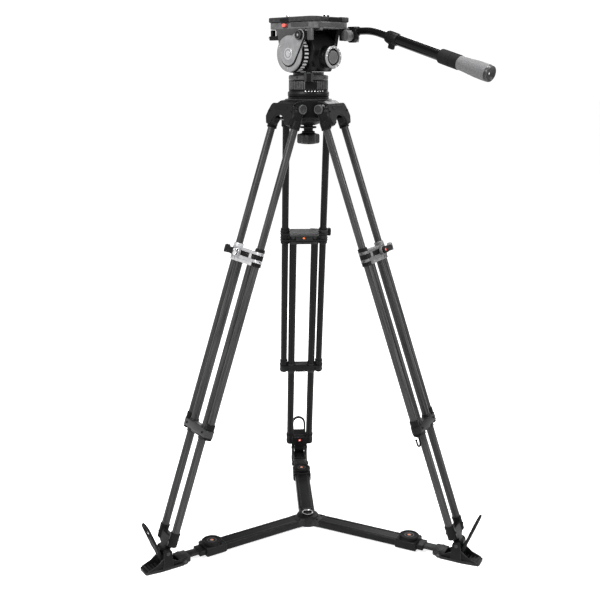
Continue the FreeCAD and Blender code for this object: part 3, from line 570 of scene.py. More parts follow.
def lower_bracket(name):
    """The bridge at the outer tubes' ends: a wrap-round band, dark sleeves, guides and end caps."""
    look = DARK if name == "left" else BLACK
    shape = Shape()
    low = BRACKET - 16
    for side in SIDES:
        ferrule(shape, side * OUTER_X, low - 1.5, low + 38, 11.0, PLASTIC)
        shape.rod(11.0, (side * OUTER_X, 0, low - 2), (side * OUTER_X, 0, low + 1), PLASTIC, 1.2)
        guide = [(INNER_TUBE + 0.1, low - 5.5), (11.2, low - 5.5), (11.8, low - 4.5), (11.8, low + 27),
                 (11.2, low + 28), (INNER_TUBE + 0.1, low + 28)]
        shape.lathe(guide, BLACK, move(side * INNER_X, 0, 0), 48)
        for face in SIDES:
            screw(shape, side * 40.4, face * 12.2, low + 13, (0, face, 0))
    holes = [circle(11.0, x) for x in (-OUTER_X, OUTER_X)]
    shape.plate([rounded(126, 25, 12.0), *holes], 18, look, up(low + 13), bevel=1.4)
    shape.plate([rounded(36, 20, 4)], 25, look, up(low + 11), bevel=1.4)
    shape.block((30, 1.6, 9), PLASTIC, move(0, -10.2, low + 12), 0.6)
    if name == "right":
        hook = [(50, 2), (50, -8), *arc(59.5, -16, 9.5, 180, 360, 16), (69, -10), (69, -7.6)]
        shape.sweep([(x, 0, low + z) for x, z in hook], 2.3, PLASTIC)
        shape.lathe([(0, -2.9), (1.8, -2.4), (2.9, -1), (2.9, 1), (1.8, 2.4), (0, 2.9)], PLASTIC,
                    move(69, 0, low - 7.9), 24)
        shape.rod(6.0, (50, 0, low - 6), (50, 0, low), PLASTIC, 1.4)
    if name == "rear":
        for x in (-12, 12):
            wire = ((-10, 2), (-10, -8), (-11, -11), (-13.5, -12.6), (-16.4, -11))
            shape.sweep([(x, y, low + z) for y, z in wire], 2.0, "steel")
    fit(shape, name, "bracket_parts", "leg_upper", "lower_bracket")


def clamp_body(name):
    """The locking carriage: sleeves on the outer tubes, a top plate, a stepped block and a marked face."""
    side = LEVER_SIDE[name]
    look = {"rear": BLACK, "left": "grey_casting", "right": MID}[name]
    shape = Shape()
    for s in SIDES:
        ferrule(shape, s * OUTER_X, CLAMP - 22, CLAMP + 22, 12.0, PLASTIC if s != side else look, 2)
        cup = [(INNER_TUBE + 0.1, CLAMP - 22), (11.2, CLAMP - 22), (11.8, CLAMP - 21), (11.8, CLAMP + 13),
               (0, CLAMP + 13)]
        shape.lathe(cup, look, move(s * INNER_X, 0, 0), 48)
        screw(shape, s * 38, -12.4, CLAMP - 4, (0, -1, 0), radius=2.6)
    holes = [circle(12.0, x) for x in (-OUTER_X, OUTER_X)]
    for z in (10, -9):
        shape.plate([rounded(127, 25, 12.3), *holes], 7, look, up(CLAMP + z), bevel=1.2)
    shape.plate([rounded(104, 20, 5)], 22, BLACK, up(CLAMP), bevel=1.2)
    shape.plate([rounded(80, 33, 6)], 6, DARK if name == "rear" else look, move(0, -3, CLAMP + 11), bevel=1.0)
    shape.block((46, 4, 16), look, move(0, -10.8, CLAMP - 2), 1.4)
    shape.block((52, 22, 10), look, up(CLAMP - 17), 2.0)
    shape.lathe([(0, 0.9), (2.2, 0.9), (3.2, 0.2), (3.2, -0.5)], "orange_mark",
                move(-1, -12.9, CLAMP - 1) @ UPRIGHT, 20)
    boss = [(10, 0), (10, 7.2), (9.2, 8), (5, 8)]
    shape.lathe(boss, look, move(LEVER_X * side, 12, CLAMP) @ turn(-90, "X"), 48)
    fit(shape, name, "clamp_parts", "leg_lower", "clamp_body")


def lock_lever(name):
    """The cam lever: a shaped arm with a thumb wing, under a bright domed cap with a ring."""
    side = LEVER_SIDE[name]
    shape = Shape()
    flat = turn(-90, "X")
    cap_at = move(LEVER_X * side, 22.6, CLAMP) @ flat
    shape.plate([teardrop((0, 0, 9.3), (42 * side, 0, 6.5))], 4.6, PLASTIC, cap_at, bevel=1.1)
    shape.plate([rounded(46, 5, 2.4)], 1.4, PLASTIC, move(44 * side, 25.1, CLAMP) @ flat, bevel=0.5)
    wing = [(side * x, z) for x, z in ((-5.5, -8), (4, -9), (5.5, -4), (5.5, 9), (0, 12), (-5.5, 7))]
    shape.plate([wing], 11.8, MID if name == "right" else PLASTIC,
                move(69 * side, 18.8, CLAMP) @ UPRIGHT, bevel=1.3)
    cap = [(9.0, 0), (9.4, 1.0), (8.8, 2.6), (6.4, 3.4), (6.0, 2.9), (4.0, 3.1), (0, 3.6)]
    shape.lathe(cap, "chrome" if name == "left" else PLASTIC, cap_at, 48)
    if name == "right":
        shape.lathe([(0, 3.9), (3.0, 3.7), (3.4, 3.0)], "red_button", cap_at, 32)
    shape.rod(4.0, (LEVER_X * side, 8, CLAMP), (LEVER_X * side, 22, CLAMP), "steel")
    fit(shape, name, "lever_parts", "leg_lock", "lock_lever")


def foot_bracket(name):
    """The crosspiece on the inner tubes' ends, with the foot pin's eye."""
    casting = Shape()
    pivot = -LEG_LENGTH
    bridge = [(-39, pivot + 46), (39, pivot + 46), (40, pivot + 30), (30, pivot + 22), (15.4, pivot + 14),
              (15.4, pivot + 2), *arc(0, pivot, 11, 10, -190, 12), (-15.4, pivot + 2), (-15.4, pivot + 14),
              (-30, pivot + 22), (-40, pivot + 30)]
    casting.plate([bridge], 17, BLACK, UPRIGHT, bevel=2.0)
    casting.rod(11, (-15.4, 0, pivot), (15.4, 0, pivot), BLACK, 1.0)
    for s in SIDES:
        casting.rod(11.8, (s * INNER_X, 0, pivot + 22), (s * INNER_X, 0, pivot + 54), BLACK, 1.0)
    fit(casting, name, "foot_casting", "leg_lower", "foot_bracket", 1.2)
    trim = Shape()
    bore = INNER_TUBE + 0.1
    ring = [(bore, 52), (12.0, 52), (12.2, 53), (12.2, 57), (11.4, 58), (bore, 58)]
    for s in SIDES:
        trim.lathe(ring, PLASTIC, move(s * INNER_X, 0, pivot), 40)
        for face in SIDES:
            screw(trim, s * INNER_X, face * 11.6, pivot + 38, (0, face, 0))
    if name == "rear":
        trim.block((7, 2, 6), "red_button", move(0, -9.2, pivot + 36), 0.8)
        trim.block((3, 2.2, 3), "white_mark", move(0, -9.6, pivot + 36), 0.5)
    fit(trim, name, "foot_trim", "leg_lower")


# ---------------------------------------------------------------- spreader

def foot_shoe(name):
    """The spreader's end fitting: sliding tongue, hinged block, ribbed foot plate, ears and pin."""
    shape = Shape()
    reach, hinge = FOOT.y, FOOT.y - 46
    sole = [(-24, reach - 42), (-24, reach + 18), (-19, reach + 57), (-15, reach + 59), (15, reach + 59),
            (19, reach + 57), (24, reach + 18), (24, reach - 42), (19, hinge), (-19, hinge)]
    shape.plate([sole], 7, BLACK, up(4.6), bevel=1.2)
    shape.plate([rounded(36, 84, 6, 0, reach + 8)], 2, "rubber", up(1.0), bevel=0.5)
    for side in SIDES:
        ear = [(reach - 14, 6), (reach + 14, 6)] + arc(reach, FOOT.z, 11, -10, 190, 14)
        shape.plate([ear], 7.6, BLACK, move(side * 20, 0, 0) @ STAND, bevel=1.2)
        rib = [(reach + 10, 7), (reach + 53, 7), (reach + 53, 9.5), (reach + 30, 18), (reach + 11, 33)]
        shape.plate([rib], 3.6, BLACK, move(side * 19, 0, 0) @ STAND, bevel=0.8)
        fin = [(reach - 44, 7), (reach - 14, 7), (reach - 13, 24), (reach - 30, 15)]
        shape.plate([fin], 3.6, BLACK, move(side * 18, 0, 0) @ STAND, bevel=0.8)
        cap = [(0, 1.4), (3.2, 1.4), (4.2, 1.0), (4.8, 0), (4.8, -1)]
        shape.lathe(cap, DARK, move(side * 24, reach, FOOT.z) @ turn(90 * side, "Y"), 32)
    for k in range(4):
        shape.block((30, 3, 2.4), BLACK, move(0, reach + 22 + 9 * k, 9.0), 0.8)
    shape.rod(5, (-24, reach, FOOT.z), (24, reach, FOOT.z), "steel")
    shape.block((39, 33, 16), BLACK, move(0, hinge, 11.5), 2.4)
    shape.block((43, 10, 12), BLACK, move(0, reach - 47, 10.5), 2.0)
    shape.rod(4, (-26, hinge, 10), (26, hinge, 10), DARK, 0.8)
    for side in SIDES:
        shape.rod(7.5, (side * 20, hinge, 10), (side * 24.5, hinge, 10), BLACK, 0.8)
    shape.block((24, 168, 8), "anodised", move(0, reach - 142, ARM_HEIGHT), 0.8)
    fit(shape, name, "shoe_parts", "foot", "foot_shoe", at=foot_frame(name))


def pull_loop(name):
    """The thick rubber loop: a strap that widens into a ring with a D-shaped window."""
    shape = Shape()
    strap = [(-14.5, 0.6), (14.5, 0.6), (14.5, 36), (21, 52), (21.4, 104), *arc(0, 108, 21.4, 0, 180, 20),
             (-21.4, 104), (-21, 52), (-14.5, 36)]
    window = [(-15.5, 88), (15.5, 88), *arc(0, 106, 15.5, 0, 180, 16)]
    shape.plate([strap, window], 6, "rubber", bevel=1.6, steps=3)
    for k in range(4):
        shape.block((22, 7, 2), "rubber", move(0, 58 + 6 * k, 0), 0.8)
    shape.plate([rounded(24, 22, 4, 0, 20)], 6.8, "rubber", bevel=0.8)
    lean = move(0, FOOT.y + 4.5, 9.2) @ turn(-21.3, "X") @ UPRIGHT
    fit(shape, name, "loop_rubber", "foot", "pull_loop", at=foot_frame(name) @ lean)


def sliding_arm(name):
    """The flat tube that slides in the spreader's arm, round the shoe's tongue."""
    shape = Shape()
    width, depth, start, length = 38.0, 13.6, 130.0, 206.0
    section = [rounded(width, depth, 2.0), rounded(width - 4, depth - 4, 1.0)[::-1]]
    middle = move(0, start + length / 2, ARM_HEIGHT)
    shape.plate(section, length, "anodised", middle @ UPRIGHT, bevel=0.5)
    fit(shape, name, "arm_tube", "arm", "sliding_arm", at=foot_frame(name))


def arm_knob(name):
    """The flat lock knob: scalloped grip, dished top and a plain ring badge."""
    shape = Shape()
    outline = [polar(26.2 - 0.9 * max(0.0, polar(1, 12 * a)[0]) ** 2, a) for a in range(0, 360, 3)]
    shape.plate([outline], 6.2, PLASTIC, up(31.6), bevel=1.0)
    top = [(25, 34.0), (24.2, 35.8), (20.5, 36.0), (19.0, 35.0), (17.5, 34.3), (0, 34.3)]
    shape.lathe(top, PLASTIC, segments=72)
    shape.lathe([(12.5, 34.2), (12.2, 34.9), (10.2, 34.9), (9.9, 34.3)], DARK, segments=64)
    shape.lathe([(5.2, 34.2), (5.0, 35.0), (3.0, 35.1)], "side_grey", segments=40)
    shape.lathe([(3.0, 34.6), (2.6, 35.3), (0, 35.3)], "orange_mark", segments=32)
    shape.rod(4, (0, 0, 23.2), (0, 0, 30), "steel")
    fit(shape, name, "knob_parts", "arm_lock", "arm_knob", at=foot_frame(name) @ move(0, KNOB_REACH, 0))


def spreader():
    """Hub with its ring, and the channel arms with rolled edges, clamp blocks and screws."""
    hub, arms = Shape(), Shape()
    turned = [(0, 0), (24, 0), (26, 0.6), (30, 4), (30, 24.6), (28.8, 26.6), (26, 28), (16.4, 28.2),
              (15.5, 29), (15.5, 32), (14.6, 33), (13, 33), (12, 32.2), (12, 30.2), (0, 30.2)]
    hub.lathe(turned, BLACK, segments=96)
    hub.lathe([(14.8, 32.6), (14.6, 33.2), (12.9, 33.2), (12.4, 32.6)], "steel", segments=64)
    hub.lathe([(7, 30.0), (7, 30.8), (6.2, 31.2), (0, 31.2)], PLASTIC, segments=48)
    channel = [rounded(42.5, 18, 2.5), rounded(38.5, 14, 1.2)[::-1]]
    collar = [rounded(52, 24, 4.0), rounded(38.6, 14, 1.2)[::-1]]
    for name in LEGS:
        at = foot_frame(name)
        hub.block((43, 26, 19), BLACK, at @ move(0, 31, ARM_HEIGHT), 2.4)
        arms.plate(channel, 220, "anodised", at @ move(0, 154, ARM_HEIGHT) @ UPRIGHT, bevel=0.8)
        for y, depth in ((294, 50), (266.5, 7)):
            arms.plate(collar, depth, BLACK, at @ move(0, y, 16) @ UPRIGHT, bevel=1.5)
        arms.lathe([(20, 27.6), (19.4, 28.2), (4.2, 28.2)], BLACK, at @ move(0, KNOB_REACH, 0), 48)
        for side in SIDES:
            screw(hub, *(at @ Vector((side * 14, 35, 24.2))), (0, 0, 1))
            arms.block((3.4, 212, 1.6), "anodised", at @ move(side * 14, 156, 24.2), 0.6)
            screw(arms, *(at @ Vector((side * 21, 314, 27.6))), (0, 0, 1), radius=2.2)
    hub.build("hub_casting", "spreader", ["spreader_hub"], place=Matrix())
    arms.build("outer_arm_parts", "spreader", ["spreader_outer_arms"], place=Matrix())


def legs():
    for name in LEGS:
        yoke(name)
        tube_pair(name, "outer_tubes", "leg_upper", OUTER_X, OUTER_TUBE, *OUTER_SPAN)
        lower_bracket(name)
        clamp_body(name)
        lock_lever(name)
        tube_pair(name, "inner_tubes", "leg_lower", INNER_X, INNER_TUBE, *INNER_SPAN)
        for piece in (foot_bracket, foot_shoe, pull_loop, sliding_arm, arm_knob):
            piece(name)
    spreader()


# ---------------------------------------------------------------- apex and bowl

BALL = 1131.0


def apex():
    """The bowl with its skirt and rim, and three hooded lugs on their hinge barrels."""
    casting = Shape()
    bowl = [*arc(0, BALL, 50.3, -58.9, -1.8, 20), (56.5, 1129.5), (59, 1127), (59, 1088), (56, 1084),
            (44, 1084), (44, 1093), *arc(0, BALL, 58, -40.9, -63.4, 8)]
    casting.lathe([*bowl, bowl[0]], BLACK, segments=96)
    for name in LEGS:
        at = foot_frame(name)
        ends = [at @ (SHOULDER + Vector((x, 0, 0))) for x in (-38.4, 38.4)]
        casting.rod(16, *ends, BLACK, 1.5)
        hood = [(38, 1092), (60, 1092), *arc(SHOULDER.y, SHOULDER.z, 16.0, -60, 38, 10), (66, 1121.5),
                (58, 1126.5), (38, 1129.3)]
        casting.plate([hood], 76.8, BLACK, at @ STAND, bevel=3.0, steps=3)
    casting.build("apex_shell", "apex", ["apex_casting"], 1.3, Matrix())


def apex_trim():
    """The rim's ring, the hinge bolts' caps and the ribs between the lugs."""
    trim = Shape()
    rim = [(50.4, 1128.6), (50.4, 1129.9), (51, 1130.3), (56.4, 1130.3), (57.2, 1129.6), (57.2, 1128.6)]
    cap = [(0, 0.9), (3.6, 0.9), (4.2, 1.5), (7.4, 1.5), (8.0, 2.7), (10.0, 2.9), (11, 2.1), (11, 0), (0, 0)]
    trim.lathe(rim, DARK, segments=96)
    for name in LEGS:
        for side in SIDES:
            hinge = foot_frame(name) @ move(side * 62.9, SHOULDER.y, SHOULDER.z)
            trim.lathe(cap, DARK, hinge @ turn(90 * side, "Y"), 48)
        trim.block((20, 5, 4), DARK, turn(LEGS[name] + 90) @ move(0, -58.6, 1099), 1.0)
        trim.block((26, 3, 2), PLASTIC, turn(LEGS[name] + 90) @ move(0, -59.4, 1092), 0.6)
    trim.build("apex_trim_parts", "apex", ["apex_hinge_bolts"], place=Matrix())


def bowl_parts():
    """The clamp dish under the bowl, the half ball with its flange and stem, and the tie-down knob."""
    dish = Shape()
    profile = [*arc(0, BALL, 58.4, -73.1, -49.5, 10), *arc(0, BALL, 65.7, -54.7, -75.0, 10)]
    dish.lathe([*profile, profile[0]], "anodised", segments=80)
    dish.build("clamp_dish_turned", "clamp_dish", ["bowl_clamp_dish"], place=Matrix())
    ball = Shape()
    stem = [(0, 1037), (10.5, 1037), (11.5, 1038), (11.5, 1060), (19, 1060), (20, 1061), (20, 1063.5),
            (19, 1064.5), (11.5, 1064.5)]
    flange = [(48, 1135.6), (49, 1136), (50.5, 1138), (50.5, 1139.4), (49.9, 1140), (50.5, 1140.6),
              (50.5, 1145.4), (49.2, 1147.5), (48.2, 1147.6), (48, 1148), (48, 1150.2), (47.5, 1150.7)]
    spigot = [(32, 1150.7), (32, 1175), (15, 1175), (15, 1192), (0, 1192)]
    ball.lathe([*stem, *arc(0, BALL, 50, -76.7, 5, 30), *flange, *spigot], "anodised", segments=96)
    for i in range(7):
        tall = 2.4 if i % 3 == 0 else 1.5
        ball.block((2.6, 0.5, tall), "white_mark", turn(9 * i - 12) @ move(0, -48.05, 1149.2), 0.1, 1)
    ball.build("half_ball_turned", "half_ball", ["levelling_half_ball"], place=Matrix())
    knob = Shape()
    lobes = [polar(24.4 + 3.4 * polar(1, 6 * angle)[0], angle) for angle in range(0, 360, 2)]
    knob.plate([lobes], 24, DARK, up(1034.5), bevel=5.0, steps=5)
    for cover in ([(11.6, 1053), (15, 1053), (16, 1052), (16, 1049), (18, 1047.5), (21, 1046.5), (23, 1044)],
                  [(0, 1023.6), (5, 1023.6), (6, 1022), (14, 1021.4), (19, 1022.4), (21, 1024.5)]):
        knob.lathe(cover, PLASTIC, segments=64)
    knob.lathe([(0, 1022.6), (4.2, 1022.6), (4.6, 1023.4)], "steel", segments=32)
    knob.build("tie_knob_lobed", "tie_down", ["tie_down_knob"], place=Matrix())


# ---------------------------------------------------------------- fluid head

PIVOT_HEIGHT = 1278
DIAL_Y, DIAL_Z = 7.5, 1228
LEVER_POST = (-51, -48)


def across(y, x=0.0, z=TILT_HEIGHT):
    """Stands a plate's or lathe's own z on the head's minus y direction."""
    return move(x, y, z) @ UPRIGHT


def sector(outer, inner, start, end):
    """The outline of part of a flat ring."""
    return arc(0, 0, outer, start, end) + arc(0, 0, inner, end, start)


def pan_section():
    """The pan base, the ribbed pan drag ring and the pan lock lever."""
    base = Shape()
    turned = [(15.2, 1175.4), (47, 1175.4), (48, 1176.2), (48, 1184.4), (46.4, 1186.6), (44, 1187),
              (38, 1187), (37.5, 1187.6), (37.5, 1194), (15.2, 1194)]
    base.lathe(turned, DARK, segments=96)
    for i in range(8):
        base.lathe([(0, 0.3), (1.6, 0.3), (2, 0), (2, -0.6)], PLASTIC,
                   turn(45 * i + 12) @ move(0, -48.0, 1180.6) @ UPRIGHT, 16)
    base.build("pan_base_turned", "head", ["pan_base"])
    ring = Shape()
    middle = up(1162.8)
    ring.plate([gear(47.9, 1.7, 54), circle(32.4, steps=64)], 19.5, DARK, middle, bevel=0.5, steps=1)
    for low, high in ((1151.3, 1153.4), (1172.3, 1174.7)):
        edge = [(32.4, low), (47.4, low), (48, low + 0.5), (48, high - 0.5), (47.4, high), (32.4, high)]
        ring.lathe(edge, PLASTIC, segments=96)
    for start in (-52, 68, 188):
        ring.plate([sector(48, 40, start, start + 32)], 18, PLASTIC, middle, bevel=0.8)
    ring.build("pan_ring_ribbed", "pan_ring", ["pan_drag_ring"])
    lever = Shape()
    at = HEAD @ turn(47) @ move(0, -56, 1183) @ UPRIGHT
    grip = [(-11, -12), (11, -12), (11, 5), (7, 12), (-7, 12), (-11, 5)]
    lever.plate([grip], 5.5, PLASTIC, bevel=1.2)
    for side in SIDES:
        lever.plate([rounded(5, 20, 2, side * 7.8, -1.5)], 8, DARK, bevel=1.0)
    lever.plate([rounded(9, 4, 1.6, 0, 9)], 7.6, DARK, bevel=0.8)
    lever.rod(4, (0, -1.8, -20), (0, -1.8, 2), "steel")
    lever.build("pan_lock_grip", "pan_lock", ["pan_lock_lever"], place=at)


def housing():
    """The fluid housing: a crowned drum with soft edges, base, rear boss and screws."""
    body = Shape()
    body.rod(40, (0, -38, TILT_HEIGHT), (0, 45, TILT_HEIGHT), BLACK, 3.0, 72)
    crown = [(-52, 0), (-40, -22), (40, -22), (52, 0)] + arc(0, 0, 54.6, 8, 172, 24)
    body.plate([crown], 82, BLACK, across(3.5), bevel=5.0, steps=4)
    foot = [(-44, -30), (-38, -41.5), (38, -41.5), (44, -30), (40, 2), (-40, 2)]
    body.plate([foot], 76, BLACK, across(4), bevel=4.0, steps=3)
    body.rod(25, (8, DIAL_Y, DIAL_Z), (67.8, DIAL_Y, DIAL_Z), BLACK, 2.5, 64)
    body.rod(30, (0, -56, TILT_HEIGHT), (0, -36, TILT_HEIGHT), BLACK, 0.8, 64)
    body.rod(34, (26, DIAL_Y, DIAL_Z + 1), (52, DIAL_Y, DIAL_Z + 1), BLACK, 9.0, 64)
    body.build("housing_casting", "head", ["head_housing"], remesh=1.5)
    trim = Shape()
    for x, z in ((47, 1251), (40, 1264), (-47, 1251)):
        screw(trim, x, -37.6, z, (0, -1, 0), radius=2.0)
    for angle in range(0, 360, 60):
        y, z = polar(24.6, angle, DIAL_Y, DIAL_Z)
        trim.block((16, 3, 3), PLASTIC, move(57, y, z) @ turn(angle, "X"), 0.8)
    trim.build("housing_trim", "head")


def tilt_ring():
    """The tilt drag ring: grey ribs between two black rims, with smooth grips."""
    ring = Shape()
    middle = across(-46.9)
    ring.plate([circle(41, steps=72), circle(30.5, steps=64)], 12, PLASTIC, middle, bevel=0.3)
    for i in range(30):
        ring.block((4.4, 4.2, 13.4), "rib_grey", middle @ turn(12 * i) @ move(41.4, 0, 0), 0.8)
    for y in (-54.5, -39.4):
        ring.plate([circle(43.9, steps=72), circle(30.5, steps=64)], 1.5, PLASTIC, across(y), bevel=0.4)
    for angle in (70, 160, 250):
        ring.plate([sector(43.9, 36, angle, angle + 40)], 14, PLASTIC, middle, bevel=0.5)
    ring.build("tilt_ring_ribbed", "tilt_ring", ["tilt_drag_ring"])


def dial():
    """The counterbalance dial: scalloped rim, figures on its face and a sunk centre."""
    shape = Shape()
    facing = move(68.3, DIAL_Y, DIAL_Z) @ turn(90, "Y") @ turn(90)
    rim = [gear(26.9, 0.7, 40, 0.6), circle(20.6, steps=64)]
    shape.plate(rim, 8, PLASTIC, facing @ up(4.6), bevel=0.5, steps=1)
    face = [(26.3, 8.2), (26.3, 9.6), (24.8, 11.5), (21.0, 11.5), (20.0, 10.4), (19.8, 5.0)]
    centre = [(15.6, 5.0), (15.6, 8.6), (14.4, 9.8), (12.4, 9.8), (11.2, 8.8), (4, 8.2), (0, 8.0)]
    for profile, look in ((face, "side_grey"), ([(20.0, 5.2), (15.4, 5.2)], PLASTIC), (centre, MID)):
        shape.lathe(profile, look, facing, 72)
    shape.rod(4, (60, DIAL_Y, DIAL_Z), (70, DIAL_Y, DIAL_Z), "steel")
    for i in range(10):
        angle = 90 - 27 * (i - 3)
        shape.words(str(i), 5.6, "white_mark", facing @ move(*polar(23.1, angle), 11.55) @ turn(angle - 90))
    shape.build("dial_parts", "dial", ["counterbalance_dial"])


def chamfered(half_x, low, high, cut_low, cut_high):
    """A rectangle across the head whose corners are cut at 45 degrees."""
    right = [(half_x - cut_low, low), (half_x, low + cut_low), (half_x, high - cut_high),
             (half_x - cut_high, high)]
    return right + [(-x, y) for x, y in right[::-1]]


def platform():
    """The tilting platform: bevelled flange over a grey body, cheeks, bosses and the side arm."""
    shape = Shape()
    grey, end = "body_casting", turn(90) @ UPRIGHT
    shape.plate([chamfered(77.5, -61, 61, 9, 9)], 15, grey, up(1300.6), bevel=1.0)
    for side in SIDES:
        low, high = sorted((side * 34.6, side * 65))
        cuts = (9, 0.5) if side < 0 else (0.5, 9)
        shape.plate([chamfered(79, low, high, *cuts)], 11.4, BLACK, up(1314.2), bevel=2.0, steps=1)
        lip = [(side * 34.8, 1309), (side * 31.2, 1319.8), (side * 34.8, 1319.8)]
        shape.plate([lip], 156, "anodised", STAND, bevel=0.2)
        shape.plate([rounded(130, 1.2, 0.5)], 1.2, "anodised", move(0, side * 50, 1319.7), bevel=0.2)
    shape.plate([rounded(30, 5, 1.5)], 10, BLACK, move(-15, -63.6, 1312.6), bevel=1.4)
    shape.plate([rounded(17, 12.4, 4), rounded(12.4, 8.2, 3.4)], 3, grey, across(-61.6, -15, 1301), bevel=0.7)
    shape.plate([rounded(58, 9, 1.5)], 2.4, grey, across(-61.4, 34, 1301.5), bevel=0.8)
    shape.plate([rounded(86, 10, 2)], 2.2, grey, move(77.8, 0, 1301) @ end, bevel=0.8)
    shape.plate([rounded(40, 7, 1.5)], 2.6, PLASTIC, move(78.2, 12, 1314) @ end, bevel=0.6)
    shape.plate([rounded(26, 8, 2)], 5, grey, move(70, -36, 1290.6), bevel=1.2)
    cheek = [(-36, 0), (-46, 58), (50, 58), (36, 0)]
    for y, depth, look in ((-58.6, 4.6, grey), (52, 11.8, PLASTIC)):
        shape.plate([cheek], depth, look, across(y), bevel=0.8)
        shape.plate([circle(39.8, steps=72)], depth, look, across(y), bevel=1.0)
    shape.rod(8, (*LEVER_POST, 1279.4), (*LEVER_POST, 1295), grey, 0.8)
    shape.rod(9.4, (*LEVER_POST, 1290), (*LEVER_POST, 1295), grey, 0.8)
    shape.block((15, 9, 27), DARK, move(64, -55.5, 1280), 1.8)
    shape.rod(13, (41, -65.9, PIVOT_HEIGHT), (41, -56.5, PIVOT_HEIGHT), BLACK, 1.0)
    shape.block((24, 15, 28), BLACK, move(72, 50, 1280), 2.5)
    shape.rod(13, (80, 42, PIVOT_HEIGHT), (80, 56.6, PIVOT_HEIGHT), "body_casting", 1.0)
    shape.plate([gear(12.8, 1.0, 28)], 1.6, MID, across(57.2, 80, PIVOT_HEIGHT), bevel=0.3, steps=1)
    shape.build("platform_casting", "platform", ["tilt_platform"])


def side_cover():
    """The disc over the tilt bearing, with its raised arm and a plain ring badge."""
    cover = Shape()
    disc = [(0, 4.5), (39.6, 4.5), (41.6, 4.0), (42.5, 2.4), (42.5, 0.6), (41.8, 0), (0, 0)]
    cover.lathe(disc, "side_grey", across(-61.1), 96)
    # A black teardrop sheet behind the raised arm, set off downwards and sideways so that only a dark
    # crescent shows past the arm's edge: a painted shadow of the arm.
    cover.plate([teardrop((1.8, -2.2, 28.5), (42.8, 39.8, 15))], 1.0, BLACK, across(-65.8), bevel=0.2)
    cover.plate([teardrop((0, 0, 27), (41, 42, 13.5))], 2.2, "side_grey", across(-66.2), bevel=0.9, steps=3)
    for outer, look in ((14, "grey_casting"), (11.6, "side_grey"), (7.5, "grey_casting")):
        badge = [(0, 0.5), (outer - 0.8, 0.5), (outer, 0), (outer, -1)]
        cover.lathe(badge, look, across(-67.1 - (14 - outer) * 0.03), 64)
    for angle in (150, 270):
        x, z = polar(34, angle, 0, TILT_HEIGHT)
        screw(cover, x, -65.4, z, (0, -1, 0), "steel", 1.8)
    cover.build("side_cover_parts", "platform", ["side_disc_cover"])


def head_controls():
    """The tilt lock knob, the plate lock lever and the release button."""
    knob = Shape()
    knob.plate([gear(11, 0.6, 28, 0.6)], 7.4, PLASTIC, across(-70.6, 41, PIVOT_HEIGHT), bevel=0.5, steps=1)
    face = [(10.2, 0.4), (9.4, 1.2), (8.0, 1.2), (7.4, 0.2), (5.2, 0.2), (4.8, 0.9), (2.2, 0.9), (1.8, 0)]
    knob.lathe(face, DARK, across(-74.1, 41, PIVOT_HEIGHT), 48)
    knob.lathe([(0, 0.5), (2.0, 0.5), (2.2, 0)], "steel", across(-74.1, 41, PIVOT_HEIGHT), 24)
    knob.build("tilt_lock_cap", "tilt_lock", ["tilt_lock_knob"])

    hook = Shape()
    hook.rod(9.4, (*LEVER_POST, 1268), (*LEVER_POST, 1279), PLASTIC, 1.6)
    arm = teardrop((*LEVER_POST, 8.0), (-80, -48, 5.4))
    hook.plate([arm], 10, PLASTIC, up(1273), bevel=1.6, steps=3)
    hook.plate([rounded(8, 11, 2, -74, -48)], 23.6, PLASTIC, up(1280.2), bevel=1.2)
    hook.lathe([(0, 6.2), (3.0, 6.0), (4.5, 4.6), (4.5, 0), (0, 0)], "steel",
               move(-81.5, -48, 1273) @ turn(-90, "Y"), 32)
    hook.rod(4, (*LEVER_POST, PIVOT_HEIGHT), (*LEVER_POST, 1288.6), "steel")
    hook.build("plate_lever_hook", "plate_lever", ["plate_lock_lever"])

    button = Shape()
    button.plate([rounded(11.5, 7.4, 3.2)], 15.5, "red_button", across(-60.6, -15, 1301), bevel=1.3, steps=3)
    button.build("button_cap", "button", ["release_button"])


def plate_parts():
    """The camera plate's slotted rubber pads and locating pins, and its two camera screws."""
    pads = Shape()
    for y, slot_x in ((-18, -40), (18, 24)):
        pad = [rounded(124, 20, 2, 0, y), rounded(48, 9, 4, slot_x, y)]
        pads.plate(pad, 0.8, "rubber", up(1319.9), bevel=0.2, steps=1)
    for y in (-5, 7):
        pads.rod(2.6, (59, y, 1319.7), (59, y, 1324), PLASTIC, 0.8, 24)
    pads.build("plate_pads", "plate")
    screws = Shape()
    for radius, x, y in ((4.76, -54, -18), (3.175, 36, 18)):
        profile = [(0, 1309.3), (5.6, 1309.3), (6.2, 1309.9), (6.2, 1312.2), (5.6, 1312.8),
                   (radius - 0.7, 1312.8), (radius - 0.7, 1320.4)]
        for k in range(5):
            z = 1320.6 + k * 1.25
            profile += [(radius, z + 0.3), (radius - 0.55, z + 0.9)]
        profile += [(radius - 0.9, 1326.9), (0, 1327)]
        screws.lathe(profile, "steel", move(x, y, 0), 40)
    screws.build("camera_screw_threads", "plate", ["camera_screws"])


# ---------------------------------------------------------------- pan bar

BAR_Y = 70.5
BEND = Vector((143, BAR_Y, 1288))
BAR_SLOPE = 16
BAR = move(*BEND) @ turn(90 + BAR_SLOPE, "Y")


